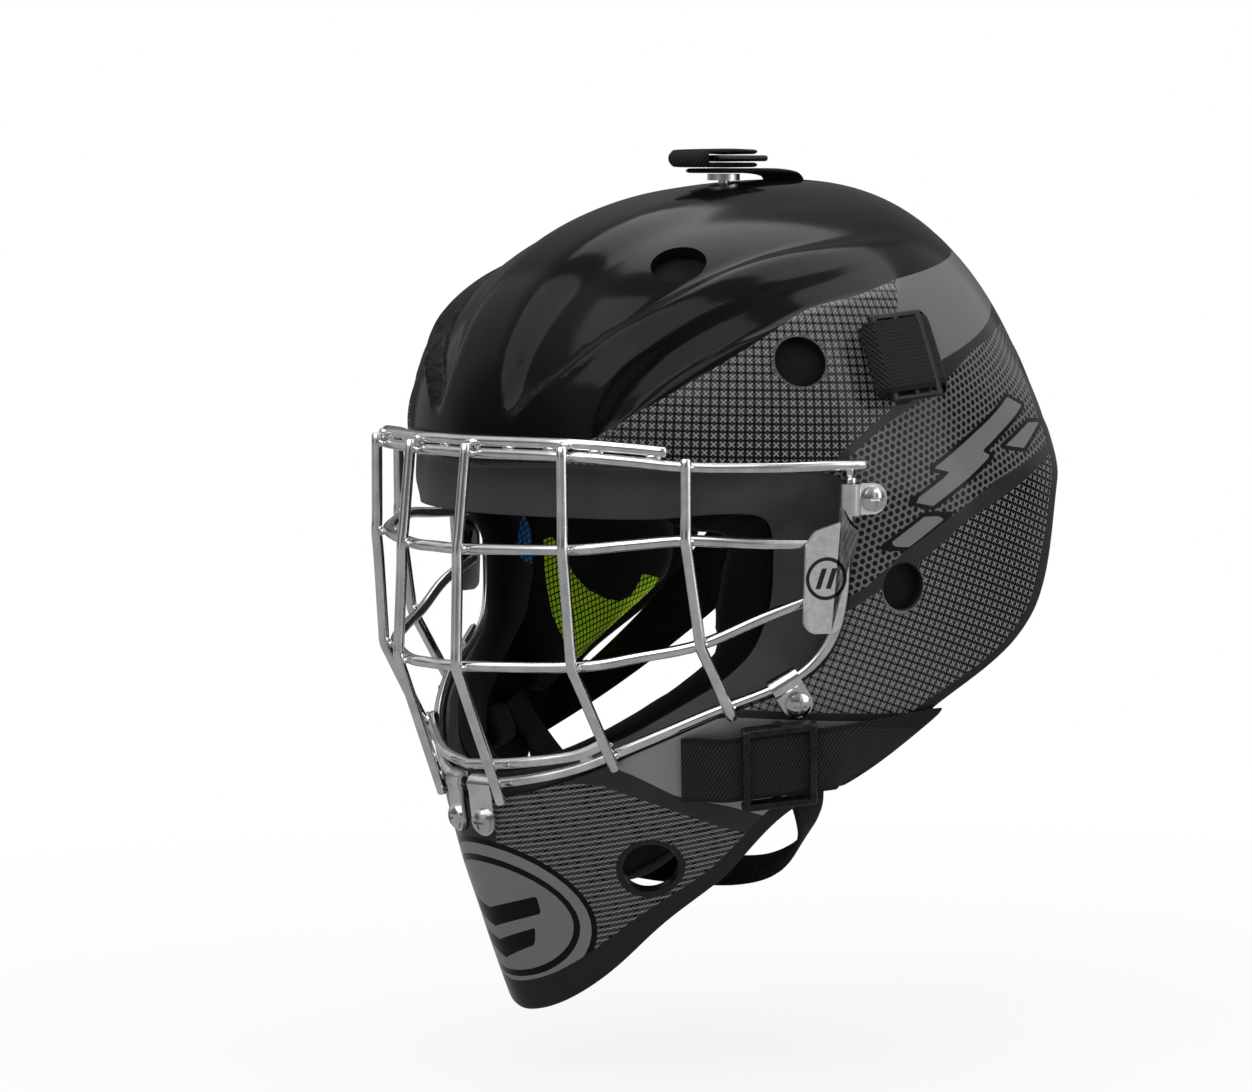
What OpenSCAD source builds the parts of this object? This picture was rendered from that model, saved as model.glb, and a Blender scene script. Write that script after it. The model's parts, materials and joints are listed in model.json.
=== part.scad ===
// Hockey goalie mask: moulded shell, welded wire cage, liner pads, straps and backplate
// Front faces -Y, the wearer's left is +X, up is +Z
// Origin: centre of the head cavity, between the ears at brow height

/* [Shell] */
// Height of the crown above the brow line
crown_z = 109; // [104:1:114]
// Greatest half width of the shell, at the ears
half_width = 116; // [111:1:121]
// Reach of the brow in front of the origin
brow_reach = 138; // [133:1:143]
// Reach of the back of the crown behind the origin
back_reach = 84; // [79:1:89]
// Thickness of the shell wall
wall = 4; // [3:0.5:5]
// Depth of the dark recess around the face opening
recess = 4; // [3:0.5:5]
// How far the sides of the face opening turn in behind the recess
turn_in = 13; // [6:1:14]
// Depth of the flutes on the crown
flute_depth = 4.5; // [0:0.5:6]

/* [Holes in the shell] */
// Diameter of the ear holes
ear_hole_d = 16; // [12:1:20]
// Diameter of the side vents
side_vent_d = 18; // [14:1:20]
// Diameter of the two crown vents
crown_vent_d = 20; // [14:1:22]
// Diameter of the two lacing holes in the chin
chin_hole_d = 20; // [14:1:22]
// Width of the slots that the straps pass through
slot_w = 6; // [5:0.5:7]

/* [Cage] */
// Diameter of the cage wire
wire_d = 4; // [3.4:0.1:4.4]
// Distance of the uprights in front of the brow
cage_reach = 13; // [10:1:16]
// Thickness of the side plates
plate_t = 2; // [1.2:0.2:3]
// Height of the side plates
plate_h = 39; // [36:1:46]
// Width of the side plates
plate_w = 17; // [13:1:19]

/* [Clips and screws] */
// Width of the clips that hold the cage
clip_w = 11; // [9:1:14]
// Thickness of the clips
clip_t = 1.4; // [1:0.1:2]
// Diameter of the screws
screw_d = 4; // [3:0.5:5]
// Diameter of the screw heads
head_d = 9; // [7:0.5:10]
// Diameter of the flanges of the nuts inside
nut_d = 10; // [9:0.5:13]
// Room for the shell's curve under the flat nuts
nut_gap = 0.9; // [0.7:0.1:1.3]
// Clearance on each side of a screw
hole_gap = 0.5; // [0.3:0.1:0.8]

/* [Straps] */
// Thickness of the webbing
web_t = 1.8; // [1.4:0.1:2.2]
// Width of the lower straps
lower_w = 26; // [23:1:28]
// Width of the upper straps
upper_w = 26; // [22:1:30]
// Width of the top strap
top_w = 24; // [20:1:30]
// Thickness of the bars of the strap adjusters
bar_t = 2.2; // [2:0.1:3]
// Travel of an adjuster along its strap
glide_travel = 5; // [2:1:6]
// Length of the lower adjusters, along their straps
lower_glide_l = 27; // [24:1:30]
// Length of the upper and top adjusters, along their straps
upper_glide_l = 23; // [21:1:26]
// Gap between an adjuster and its strap
glide_gap = 0.4; // [0.3:0.1:0.6]
// Diameter of the stud under the top strap
stud_d = 12; // [10:1:14]
// Height of the stud under the top strap
stud_h = 2.4; // [1.8:0.2:3]

/* [Chin strap] */
// Width of the chin strap
chin_w = 16; // [12:1:20]
// Thickness of the chin strap
chin_t = 1.6; // [1.2:0.1:2]
// Diameter of the two snaps that it hangs from
snap_d = 9; // [8:0.5:11]
// Height of the snaps
snap_h = 2.4; // [2:0.2:3]
// Length of the chin cup
cup_l = 62; // [54:1:68]
// Width of the chin cup
cup_w = 40; // [34:1:44]
// Thickness of the chin cup
cup_t = 5; // [4:0.5:7]

/* [Backplate] */
// Half width of the backplate, measured along its curve as an angle
back_angle = 60; // [54:1:64]
// Height of the backplate
back_h = 100; // [90:1:110]
// Thickness of the backplate
back_t = 3.5; // [3:0.5:5]
// Height of the middle of the backplate above the origin
back_mid = -5; // [-10:1:0]
// How far the backplate hangs in front of the rear of the shell
back_in = 20; // [14:1:24]
// How far the upper and lower edges of the backplate turn in
back_tuck = 12; // [8:1:14]
// Thickness of the backplate's pad
back_pad_t = 10; // [6:1:12]

/* [Liner] */
// Thickness of the forehead and crown pads
pad_t = 12; // [8:1:14]
// Thickness of the cheek and temple pads
side_pad_t = 14; // [10:1:16]
// Thickness of the jaw and chin pads
low_pad_t = 8; // [6:1:10]
// Gap between a pad or strap and what it lies on
rest_gap = 0.3; // [0.2:0.05:0.5]

/* [Hidden] */
// Columns around the shell on one side, and rows from face opening to outer edge
COLS = 36;
ROWS = 18;

// Stations up the shell: height, half width, front, back, centre, front power, back power
STATIONS = [
    [-195, 50 / 116, 112 / 138, 60, -20, 1.90, 2.2],
    [-183, 56 / 116, 117 / 138, 66, -18, 1.85, 2.2],
    [-158, 62 / 116, 127 / 138, 74, -15, 1.80, 2.2],
    [-134, 78 / 116, 134 / 138, 82, -12, 1.80, 2.2],
    [-108, 97 / 116, 138 / 138, 88, -10, 1.80, 2.2],
    [-80, 108 / 116, 140 / 138, 98, -11, 1.95, 2.3],
    [-40, 115 / 116, 141 / 138, 108, -13, 2.08, 2.3],
    [0, 1, 139.5 / 138, 108, -20, 2.15, 2.3],
    [20, 113 / 116, 1, 104, -27, 2.13, 2.2],
    [50, 111 / 116, 137 / 138, 86, -25, 2.10, 2.1],
    [80, 110 / 116, 137 / 138, 84, -14, 2.10, 2.1],
    [109, 110 / 116, 137 / 138, 84, 5, 2.10, 2.1]
];

function sq(x) = x * x;
function unit(v) = v / norm(v);
function mix(a, b, t) = a + (b - a) * t;
function clamp(x, a, b) = min(max(x, a), b);
function ease(t) = let (s = clamp(t, 0, 1)) s * s * (3 - 2 * s);

// Slope at a table's point, without overshoot between points
function slope(T, c, i) =
    let (
        n = len(T) - 1,
        d0 = i > 0 ? (T[i][c] - T[i - 1][c]) / (T[i][0] - T[i - 1][0]) : 0,
        d1 = i < n ? (T[i + 1][c] - T[i][c]) / (T[i + 1][0] - T[i][0]) : 0
    )
    i == 0 ? d1 : i == n ? d0 : d0 * d1 > 0 ? 2 * d0 * d1 / (d0 + d1) : 0;

// Smooth value of column c of table T at x
function smooth(T, c, x, i = 0) =
    x >= T[i + 1][0] && i < len(T) - 2 ? smooth(T, c, x, i + 1) :
    let (
        h = T[i + 1][0] - T[i][0],
        t = clamp((x - T[i][0]) / h, 0, 1),
        t2 = t * t,
        t3 = t2 * t
    )
    (2 * t3 - 3 * t2 + 1) * T[i][c] + (t3 - 2 * t2 + t) * h * slope(T, c, i)
    + (3 * t2 - 2 * t3) * T[i + 1][c] + (t3 - t2) * h * slope(T, c, i + 1);

STEPS = [for (z = [-200 : 5 : 125]) z];
SEC = [for (c = [1 : 6]) [for (z = STEPS) [z, smooth(STATIONS, c, z)]]];

// Head centre, from which the shell's surface is sighted
EYE = [0, -25, -20];
dome_z = 20;
dome_power = 2.1;

// Less than 0 inside the shell's smooth outer surface
function level(p) =
    let (
        z = p[2],
        yc = lookup(z, SEC[3]),
        fore = p[1] < yc,
        reach_y = fore ? yc + lookup(z, SEC[1]) * brow_reach : lookup(z, SEC[2]) * back_reach / 84 - yc,
        n = lookup(z, fore ? SEC[4] : SEC[5]),
        wide = lookup(z, SEC[0]) * half_width,
        e = pow(pow(abs(p[0]) / wide, n) + pow(abs(p[1] - yc) / reach_y, n), 1 / n),
        t = max(0, (z - dome_z) / (crown_z - dome_z))
    )
    pow(e, dome_power) + pow(t, dome_power) - 1;

function sight(d, a = 10, b = 260, i = 0) =
    let (m = (a + b) / 2)
    i == 17 ? EYE + d * m :
    level(EYE + d * m) > 0 ? sight(d, a, m, i + 1) : sight(d, m, b, i + 1);

// Unit vector from the eye at a bearing from the front and an elevation
function dir(az, el) = [sin(az) * cos(el), -cos(az) * cos(el), sin(el)];
function out(p) =
    let (h = 1, g = level(p))
    unit([level(p + [h, 0, 0]) - g, level(p + [0, h, 0]) - g, level(p + [0, 0, h]) - g]);

// Half outlines from brow centre to chin centre, as [bearing, elevation] from the eye:
// face opening, rim of the recess around it, outer edge of the shell
EDGES = [
    [[0, 5], [0, 13.8], [180, 37]],
    [[22.8, 4.9], [20.5, 14.3], [155.8, 35.4]],
    [[40, 4.9], [38.4, 14], [140, 31.5]],
    [[53, 5.8], [54, 13.9], [131.5, 26]],
    [[60.6, 5], [66.7, 13.5], [129.5, 20]],
    [[63.4, 1.5], [74.5, 11.7], [130.5, 16]],
    [[64.2, -4], [76.3, 4], [126.5, 6.3]],
    [[63.9, -10], [76.3, -6], [122, -7.2]],
    [[62.5, -15], [75, -15], [114.9, -16.5]],
    [[59.8, -20.2], [71.5, -21], [97.4, -28]],
    [[53.5, -24.8], [64.5, -25.2], [83.7, -38]],
    [[44, -29], [52.6, -29.2], [68.3, -47]],
    [[34.3, -33], [38.8, -34], [54, -57.5]],
    [[23, -35.6], [24.9, -37.8], [32, -62]],
    [[11.4, -36.5], [11.5, -39.3], [14, -62.9]],
    [[0, -36.6], [0, -39.8], [0, -62.8]]
];

function flip(v) = [-v[0], v[1], v[2]];
function edge_dir(i, k) =
    let (n = len(EDGES) - 1)
    i < 0 ? flip(edge_dir(-i, k)) :
    i > n ? flip(edge_dir(2 * n - i, k)) :
    dir(EDGES[i][k][0], EDGES[i][k][1]);

// Smooth direction on outline k at position s, from 0 at the brow to 1 at the chin
function rim(s, k) =
    let (
        n = len(EDGES) - 1,
        i = min(floor(s * n), n - 1),
        t = s * n - i,
        a = edge_dir(i - 1, k),
        b = edge_dir(i, k),
        c = edge_dir(i + 1, k),
        d = edge_dir(i + 2, k)
    )
    unit(b + t / 2 * ((c - a) + t * ((2 * a - 5 * b + 4 * c - d) + t * (3 * b - a - 3 * c + d))));

function swing(a, b, t) =
    let (w = acos(clamp(a * b, -1, 1)))
    w < 0.01 ? a : unit(a * sin((1 - t) * w) / sin(w) + b * sin(t * w) / sin(w));

// Rows: 0 opening, 1 middle of the recess, 2 its foot, 3 painted rim, then out to the edge
function row_dir(s, r) =
    r < 3 ? swing(rim(s, 0), rim(s, 1), [0, 0.5, 0.97][r]) :
    swing(rim(s, 1), rim(s, 2), mix(0.02, 1, (r - 3) / (ROWS - 3)));
// Share of the turn-in at places on the opening, from brow centre to chin centre
TURN = [
    [0, 0], [0.2, 0], [0.27, 0.35], [0.34, 0.75], [0.4, 1], [0.5, 1], [0.6, 0.8], [0.68, 0.45], [0.78, 0.1],
    [0.86, 0], [1, 0]
];
function row_drop(s, r) =
    r > 3 ? 0 :
    [1.4 * recess, recess, recess, 0.2][r] + [1, 0.5, 0.03, 0][r] * turn_in * lookup(s, TURN);

// Crown flutes: angle back over the head, inner and outer edge, and depth share
FLUTES = [
    [
        [22, 20, 21, 0], [27, 16, 29, 0.45], [31, 14, 40, 0.8], [37, 12, 49, 1], [47, 10, 59, 1],
        [58, 12, 67, 0.85], [70, 16, 72, 0.6], [90, 24, 75, 0.3], [108, 30, 72, 0]
    ],
    [
        [20, 57, 58, 0], [26, 57, 68, 0.4], [34, 62, 76, 0.6], [44, 69, 83, 0.6], [60, 80, 90, 0.5],
        [80, 80, 92, 0.25], [95, 78, 90, 0]
    ]
];
function flute(F, p) =
    let (
        a = atan2(p[2] - EYE[2], EYE[1] - p[1]),
        x = abs(p[0])
    )
    a <= F[0][0] || a >= F[len(F) - 1][0] ? 0 :
    let (
        x0 = smooth(F, 1, a),
        x1 = smooth(F, 2, a),
        q = (x - x0) / max(x1 - x0, 1)
    )
    flute_depth * smooth(F, 3, a) * ease(q / 0.45) * (1 - ease((q - 0.93) / 0.14));
function relief(p) = flute(FLUTES[0], p) + flute(FLUTES[1], p);

// Two surface points, outside and inside, for one direction
function skin(d, drop) =
    let (
        p = sight(d),
        n = out(p),
        r = drop + relief(p)
    )
    [p - n * r, p - n * (r + wall)];

// Closed skin from the half grid, mirrored to the other side
module moulding() {
    half = [for (i = [0 : COLS]) [for (r = [0 : ROWS]) skin(row_dir(i / COLS, r), row_drop(i / COLS, r))]];
    n = 2 * COLS;
    grid = [for (i = [0 : n - 1]) i <= COLS ? half[i] : [for (q = half[n - i]) [flip(q[0]), flip(q[1])]]];
    ring = 2 * (ROWS + 1);
    pts = [
        for (i = [0 : n - 1])
            for (k = [0 : ring - 1])
                k <= ROWS ? grid[i][k][0] : grid[i][ring - 1 - k][1]
    ];
    faces = [
        for (i = [0 : n - 1])
            for (k = [0 : ring - 1])
                let (
                    a = i * ring + k,
                    b = i * ring + (k + 1) % ring,
                    c = ((i + 1) % n) * ring + (k + 1) % ring,
                    d = ((i + 1) % n) * ring + k,
                    even = norm(pts[a] - pts[c]) < norm(pts[b] - pts[d])
                )
                each even ? [[a, b, c], [a, c, d]] : [[a, b, d], [b, c, d]]
    ];
    polyhedron(pts, faces);
}

function face(az, el) = sight(dir(az, el));
function stand(az, el, s) = let (p = face(az, el)) p + out(p) * s;
function stands(P) = [for (q = P) stand(q[0], q[1], q[2])];
function mirrored(P) = [for (i = [len(P) - 1 : -1 : 0]) flip(P[i])];

// Smooth line through points, n steps between each two
function curve(P, n) =
    let (m = len(P) - 1)
    [
        for (i = [0 : m - 1])
            for (k = [0 : n - (i == m - 1 ? 0 : 1)])
                let (
                    t = k / n,
                    b = P[i],
                    c = P[i + 1],
                    a = i > 0 ? P[i - 1] : 2 * b - c,
                    d = i < m - 1 ? P[i + 2] : 2 * c - b
                )
                b + t / 2 * ((c - a) + t * ((2 * a - 5 * b + 4 * c - d) + t * (3 * b - a - 3 * c + d)))
    ];

function tangent(P, i) = unit(P[min(i + 1, len(P) - 1)] - P[max(i - 1, 0)]);

// Closed skin over rings of points, with flat ends
module rings(R) {
    n = len(R);
    m = len(R[0]);
    polyhedron(
        [for (ring = R) each ring],
        [
            [for (k = [0 : m - 1]) k],
            for (i = [0 : n - 2])
                for (k = [0 : m - 1])
                    let (a = i * m + k, b = i * m + (k + 1) % m)
                    each [[a, b + m, b], [a, a + m, b + m]],
            [for (k = [m - 1 : -1 : 0]) (n - 1) * m + k]
        ]
    );
}

// Round wire along a path, sighted from the head centre
module wire(P, d, sides = 8) {
    rings([
        for (i = [0 : len(P) - 1])
            let (
                t = tangent(P, i),
                a = unit(cross(t, P[i] - EYE)),
                b = cross(t, a)
            )
            [for (k = [0 : sides - 1]) P[i] + (a * cos(360 * k / sides) + b * sin(360 * k / sides)) * d / 2]
    ]);
}

// Point above the surface and the normal there
function lies(az, el, s) = let (p = face(az, el), n = out(p)) [p + n * s, n];

// Own axes at point p: z along the given normal, x close to the given direction
module place(p, x, z) {
    y = unit(cross(z, x));
    u = cross(y, z);
    multmatrix([[u[0], y[0], z[0], p[0]], [u[1], y[1], z[1], p[1]], [u[2], y[2], z[2], p[2]], [0, 0, 0, 1]])
        children();
}
module on_face(az, el, x = [0, 0, 1]) {
    p = face(az, el);
    place(p, x, out(p)) children();
}
module side(s) {
    if (s > 0) children();
    else mirror([1, 0, 0]) children();
}
module both() {
    for (s = [-1, 1]) side(s) children();
}
module slot_shape(l, w, h) {
    cube([l - w, w, h], center = true);
    for (s = [-1, 1]) translate([s * (l - w) / 2, 0, 0]) cylinder(d = w, h = h, center = true, $fn = 24);
}

// Where things sit, as bearing and elevation from the head centre
EAR_HOLE = [87, -7];
SIDE_VENT = [67.7, 31];
CROWN_VENT = [42, 51.6];
CHIN_HOLE = [36.6, -53];
TEMPLE_SCREW = [79.8, 8.6];
JAW_SCREW = [67.4, -26.9];
CHIN_SCREW = [4.1, -42];
UPPER_SLOT = [97.4, 32.5];
UPPER_GLIDE = [87, 30.8];
TOP_SLOT_Y = 5;

module shell() {
    color([0.13, 0.13, 0.14])
    difference() {
        moulding();
        both() {
            on_face(EAR_HOLE[0], EAR_HOLE[1]) cylinder(d = ear_hole_d, h = 30, center = true, $fn = 48);
            on_face(SIDE_VENT[0], SIDE_VENT[1]) cylinder(d = side_vent_d, h = 30, center = true, $fn = 48);
            on_face(CROWN_VENT[0], CROWN_VENT[1])
            cylinder(d = crown_vent_d, h = 34, center = true, $fn = 48);
            on_face(CHIN_HOLE[0], CHIN_HOLE[1]) cylinder(d = chin_hole_d, h = 30, center = true, $fn = 48);
            for (q = [TEMPLE_SCREW, JAW_SCREW, CHIN_SCREW])
                on_face(q[0], q[1]) cylinder(d = screw_d + 2 * hole_gap, h = 24, center = true, $fn = 24);
            on_face(UPPER_SLOT[0], UPPER_SLOT[1]) slot_shape(upper_w + slot_w, slot_w, 24);
        }
        translate([0, TOP_SLOT_Y, crown_z]) slot_shape(top_w + slot_w, slot_w, 24);
        translate([0, STUD_Y, crown_z])
        cylinder(d = screw_d + 2 * hole_gap, h = 24, center = true, $fn = 24);
    }
}

// Cage wires, each as bearing, elevation and distance off the shell's surface
seat = wire_d / 2 - recess + 0.35;
on_top = wire_d / 2 + 0.2;
weld = wire_d + 0.16;
SHARES = [[1, 1.12, 1.26], [0.95, 0.86, 0.86], [0.46, 0.46, 0.42]];
UPRIGHTS = [
    [[8.2, 17], [7.9, -0.9], [7.9, -20.1], [9.3, -40]],
    [[27.6, 16.8], [27.6, 0], [28.2, -19.4], [32.6, -36.6]],
    [[47.3, 15.2], [47.3, 1.9], [49.5, -16], [55.2, -29]]
];
function upright_path(i) =
    let (
        q = UPRIGHTS[i],
        P = [
            for (k = [0 : 3])
                stand(q[k][0], q[k][1], k < 3 ? max(cage_reach * SHARES[i][k], on_top + weld) : seat + weld)
        ],
        lean = unit(P[3] - P[2])
    )
    [
        P[0], mix(P[0], P[1], 0.5), mix(P[0], P[1], 0.85), P[1] + unit(P[1] - EYE) * 0.2,
        mix(P[1], P[2], 0.2), mix(P[1], P[2], 0.55), mix(P[1], P[2], 0.86), P[2] - unit(P[2] - EYE) * 0.15,
        mix(P[2], P[3], 0.14), mix(P[2], P[3], 0.5), P[3]
    ];

module cage_uprights() {
    color([0.80, 0.80, 0.82])
    for (i = [0 : 2]) both() wire(upright_path(i), wire_d);
}

function bar_at(k, i) = max(cage_reach * SHARES[i][k], on_top + weld) - weld;
module cross_wire(half, n) {
    P = curve(stands(half), n);
    wire(concat(mirrored(P), [for (i = [1 : len(P) - 1]) P[i]]), wire_d);
}

module cage_top_bar() {
    color([0.80, 0.80, 0.82])
    cross_wire([
        [0, 15.6, bar_at(0, 0) + 0.3], [8.2, 15.5, bar_at(0, 0)], [27.6, 15.3, bar_at(0, 1)],
        [38, 14.7, mix(bar_at(0, 1), bar_at(0, 2), 0.6)], [47.3, 13.9, bar_at(0, 2)], [60, 13.8, on_top],
        [70, 14, on_top], [78.2, 14.2, on_top]
    ], 4);
}

module cage_brow_bar() {
    color([0.80, 0.80, 0.82])
    cross_wire([
        [0, 17.65, bar_at(0, 0) + 0.3], [8.2, 17.55, bar_at(0, 0)], [27.6, 17.35, bar_at(0, 1)],
        [38, 16.75, mix(bar_at(0, 1), bar_at(0, 2), 0.6)],
        [43.9, 16.25, mix(bar_at(0, 1), bar_at(0, 2), 0.85)]
    ], 3);
}

module cage_cross_bars() {
    color([0.80, 0.80, 0.82]) {
        cross_wire([
            [0, -1, bar_at(1, 0)], [7.9, -0.9, bar_at(1, 0)], [27.6, 0, bar_at(1, 1)],
            [38, 1.1, mix(bar_at(1, 1), bar_at(1, 2), 0.6)], [47.3, 1.9, bar_at(1, 2)], [58, 1.3, 1.2],
            [70.5, 0.9, 0]
        ], 4);
        cross_wire([
            [0, -20.3, bar_at(2, 0)], [7.9, -20.1, bar_at(2, 0)], [28.2, -19.4, bar_at(2, 1)],
            [39, -17.9, mix(bar_at(2, 1), bar_at(2, 2), 0.6)], [49.5, -16, bar_at(2, 2)], [60, -11.8, 1],
            [70.5, -8.2, 0]
        ], 4);
    }
}

// Wire round the opening, in the recess against the painted rim
RIM_WIRE = [
    [75.6, 12.2, 1], [75.3, 8, 0.6], [75.1, 0, 0], [74.9, -8, 0], [73.6, -15, 0.5], [70, -20.6, 1],
    [63.3, -24.5, 1], [52, -28.3, 1], [38.2, -33, 1], [24.5, -36.6, 1], [11.3, -37.6, 1], [0, -37.8, 1]
];
function rim_stand(i) =
    i < 2 ? 1.8 : i < 4 ? 0.4 : mix(0.2, seat, RIM_WIRE[i][2]);
function rim_line() =
    [for (i = [len(RIM_WIRE) - 1 : -1 : 0]) [RIM_WIRE[i][0], RIM_WIRE[i][1], rim_stand(i)]];
module cage_rim_wire() {
    color([0.80, 0.80, 0.82])
    cross_wire(rim_line(), 3);
}

// Second wire above the rim wire, between the outer uprights
module cage_chin_bar() {
    line = [[0, -35.3], [11.3, -35.1], [24.5, -34.5], [31, -32.7]];
    color([0.80, 0.80, 0.82])
    cross_wire([for (q = line) [q[0], q[1], seat + 0.3]], 3);
}

PLATE_AT = [71.2, -4.2];
module side_plate(s) {
    color([0.74, 0.74, 0.76])
    side(s)
    on_face(PLATE_AT[0], PLATE_AT[1])
    translate([0, 0, wire_d / 2 + 0.6])
    linear_extrude(plate_t)
    // x is up, y towards the front
    polygon([
        [-plate_h / 2 + 2, plate_w / 2], [plate_h / 2 - 9, plate_w / 2], [plate_h / 2 - 4, plate_w / 2 - 3],
        [plate_h / 2, -plate_w / 2 + 1.5], [plate_h / 2 - 2, -plate_w / 2], [4, -plate_w / 2 + 0.8],
        [-plate_h / 2 + 11, -plate_w / 2 + 1.6], [-plate_h / 2 + 1, -plate_w / 2 + 3.2],
        [-plate_h / 2 - 1, -plate_w / 2 + 6], [-plate_h / 2 - 1, plate_w / 2 - 3]
    ]);
}

// Clips: each holds the rim wire to the shell with one screw
module clip(q, w, rise) {
    p = face(q[0], q[1]);
    n = out(p);
    c = stand(w[0], w[1], rise);
    x = unit(c - p - n * ((c - p) * n));
    a = (c - p) * x;
    b = (c - p) * n;
    r = wire_d / 2 + 0.6;
    place(p, x, n)
    intersection() {
        difference() {
            union() {
                translate([-clip_w / 2, -clip_w / 2, rest_gap]) cube([a + clip_w / 2, clip_w, clip_t]);
                translate([a, 0, b])
                rotate([90, 0, 0])
                cylinder(r = r + clip_t, h = clip_w, center = true, $fn = 40);
            }
            translate([a, 0, b]) rotate([90, 0, 0]) cylinder(r = r, h = clip_w + 1, center = true, $fn = 40);
            translate([a - 20, -clip_w, b - 20]) cube([20, 2 * clip_w, 20 + min(rest_gap - b, r + clip_t)]);
            translate([a - 1, -clip_w, b - 20]) cube([20, 2 * clip_w, 19.4]);
            cylinder(d = screw_d + 0.4, h = 20, center = true, $fn = 32);
        }
        union() {
            cylinder(d = clip_w, h = 30, center = true, $fn = 48);
            translate([0, -clip_w / 2, -15]) cube([a + 12, clip_w, 30]);
        }
    }
}

module clip_screw(q) {
    on_face(q[0], q[1]) {
        translate([0, 0, rest_gap + clip_t])
        difference() {
            intersection() {
                cylinder(d = head_d, h = 3, $fn = 48);
                translate([0, 0, 3 - head_d * 0.75]) sphere(r = head_d * 0.75, $fn = 64);
            }
            for (k = [0, 90]) rotate(k) translate([-2.4, -0.45, 1.6]) cube([4.8, 0.9, 3]);
        }
        translate([0, 0, -wall - 5]) cylinder(d = screw_d, h = wall + 5 + rest_gap + clip_t, $fn = 32);
    }
}

module nut(q) {
    on_face(q[0], q[1])
    translate([0, 0, -wall - nut_gap])
    difference() {
        union() {
            translate([0, 0, -1.5]) cylinder(d = nut_d, h = 1.5, $fn = 48);
            translate([0, 0, -4]) cylinder(d = screw_d + 3, h = 4, $fn = 32);
        }
        cylinder(d = screw_d + 0.1, h = 20, center = true, $fn = 32);
    }
}

TEMPLE_WIRE = [75.3, 8.6];
JAW_WIRE = [65.1, -23.7];
CHIN_WIRE = [4.1, -37.8];
module temple_clips() { color([0.78, 0.78, 0.80]) both() clip(TEMPLE_SCREW, TEMPLE_WIRE, 1.8); }
module jaw_clips() { color([0.78, 0.78, 0.80]) both() clip(JAW_SCREW, JAW_WIRE, seat); }
module chin_clips() { color([0.78, 0.78, 0.80]) both() clip(CHIN_SCREW, CHIN_WIRE, seat); }
module clip_screws() {
    color([0.75, 0.75, 0.77])
    for (q = [TEMPLE_SCREW, JAW_SCREW, CHIN_SCREW]) both() clip_screw(q);
}
module clip_nuts() {
    color([0.55, 0.55, 0.57])
    for (q = [TEMPLE_SCREW, JAW_SCREW, CHIN_SCREW]) both() nut(q);
}

// Liner pads: a patch of directions, offset inwards, crowned, with drawn-in sides
function over(a, b) = [sin(b), -cos(a) * cos(b), sin(a) * cos(b)];
function swell(u, v) = sqrt(max(0, (1 - pow(abs(u), 6)) * (1 - pow(abs(v), 6))));
function groove(u, G) = len(G) == 0 ? 0 : max([for (g = G) exp(-sq((u - g) / 0.09))]);
module pad(sagittal, A, B, lead, t, nu = 14, nv = 8, G = [], lean = 0, start = 0) {
    grid = [
        for (i = [0 : nu])
            [
                for (j = [0 : nv])
                    let (
                        u = 2 * i / nu - 1,
                        v = 2 * j / nv - 1,
                        x = mix(A[0], A[1], (u * sqrt(1 - 0.16 * v * v) + 1) / 2),
                        y = mix(B[0], B[1], (v * sqrt(1 - 0.16 * u * u) + 1) / 2) + lean * max(0, x - start),
                        p = sight(sagittal ? over(y, x) : dir(x, y)),
                        n = out(p),
                        th = t * (0.3 + 0.7 * swell(u, v)) * (1 - 0.3 * groove(u, G))
                    )
                    [p - n * (lead + th), p - n * lead]
            ]
    ];
    slab(grid);
}

deep = wall + flute_depth + rest_gap;
module forehead_pad() {
    color([0.09, 0.09, 0.10]) pad(false, [-50, 50], [17, 40], deep, pad_t, G = [-0.36, 0.36]);
}
module crown_pad() {
    color([0.09, 0.09, 0.10]) pad(true, [-30, 30], [55, 96], deep, pad_t, 10, 8);
}
module temple_pad(s) {
    color([0.08, 0.08, 0.09]) side(s) pad(false, [86, 116], [5, 21], wall + rest_gap, side_pad_t, 8, 6);
}
module cheek_pad(s) {
    color([0.08, 0.08, 0.09])
    side(s)
    pad(
        false, [76, 109], [-36, -14], wall + rest_gap, side_pad_t, 14, 8,
        G = [-0.3, 0.3], lean = 0.62, start = 84
    );
}
module jaw_pad(s) {
    color([0.08, 0.08, 0.09]) side(s) pad(false, [50, 63], [-43, -36], wall + rest_gap, low_pad_t, 8, 4);
}
module chin_pad() {
    color([0.20, 0.20, 0.21]) pad(false, [-26, 26], [-55, -47], wall + rest_gap, low_pad_t, 10, 4);
}

// Backplate: bearing from the back, height, and offset outwards
function tuck(z) = back_tuck * sq((z - back_mid) / (back_h / 2));
function back_at(a, z, off) =
    [
        (back_reach + 2 - 0.6 * tuck(z) + off) * sin(a),
        2 - back_in + (back_reach + 18 - tuck(z) + off) * cos(a),
        z
    ];
module back_patch(share, height, off, t, nu = 16, nv = 8) {
    grid = [
        for (i = [0 : nu])
            [
                for (j = [0 : nv])
                    let (
                        u = 2 * i / nu - 1,
                        v = 2 * j / nv - 1,
                        a = back_angle * share * u * sqrt(1 - 0.3 * v * v),
                        z = back_mid + height / 2 * v * sqrt(1 - 0.2 * u * u),
                        th = t > 5 ? t * (0.35 + 0.65 * swell(u, v)) : t
                    )
                    [back_at(a, z, off), back_at(a, z, off - th)]
            ]
    ];
    slab(grid);
}

// Bearing of the plate's side edge at a height
function side_at(z) =
    let (v = clamp((z - back_mid) / (back_h / 2 * sqrt(0.8)), -1, 1)) back_angle * sqrt(1 - 0.3 * sq(v));
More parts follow.
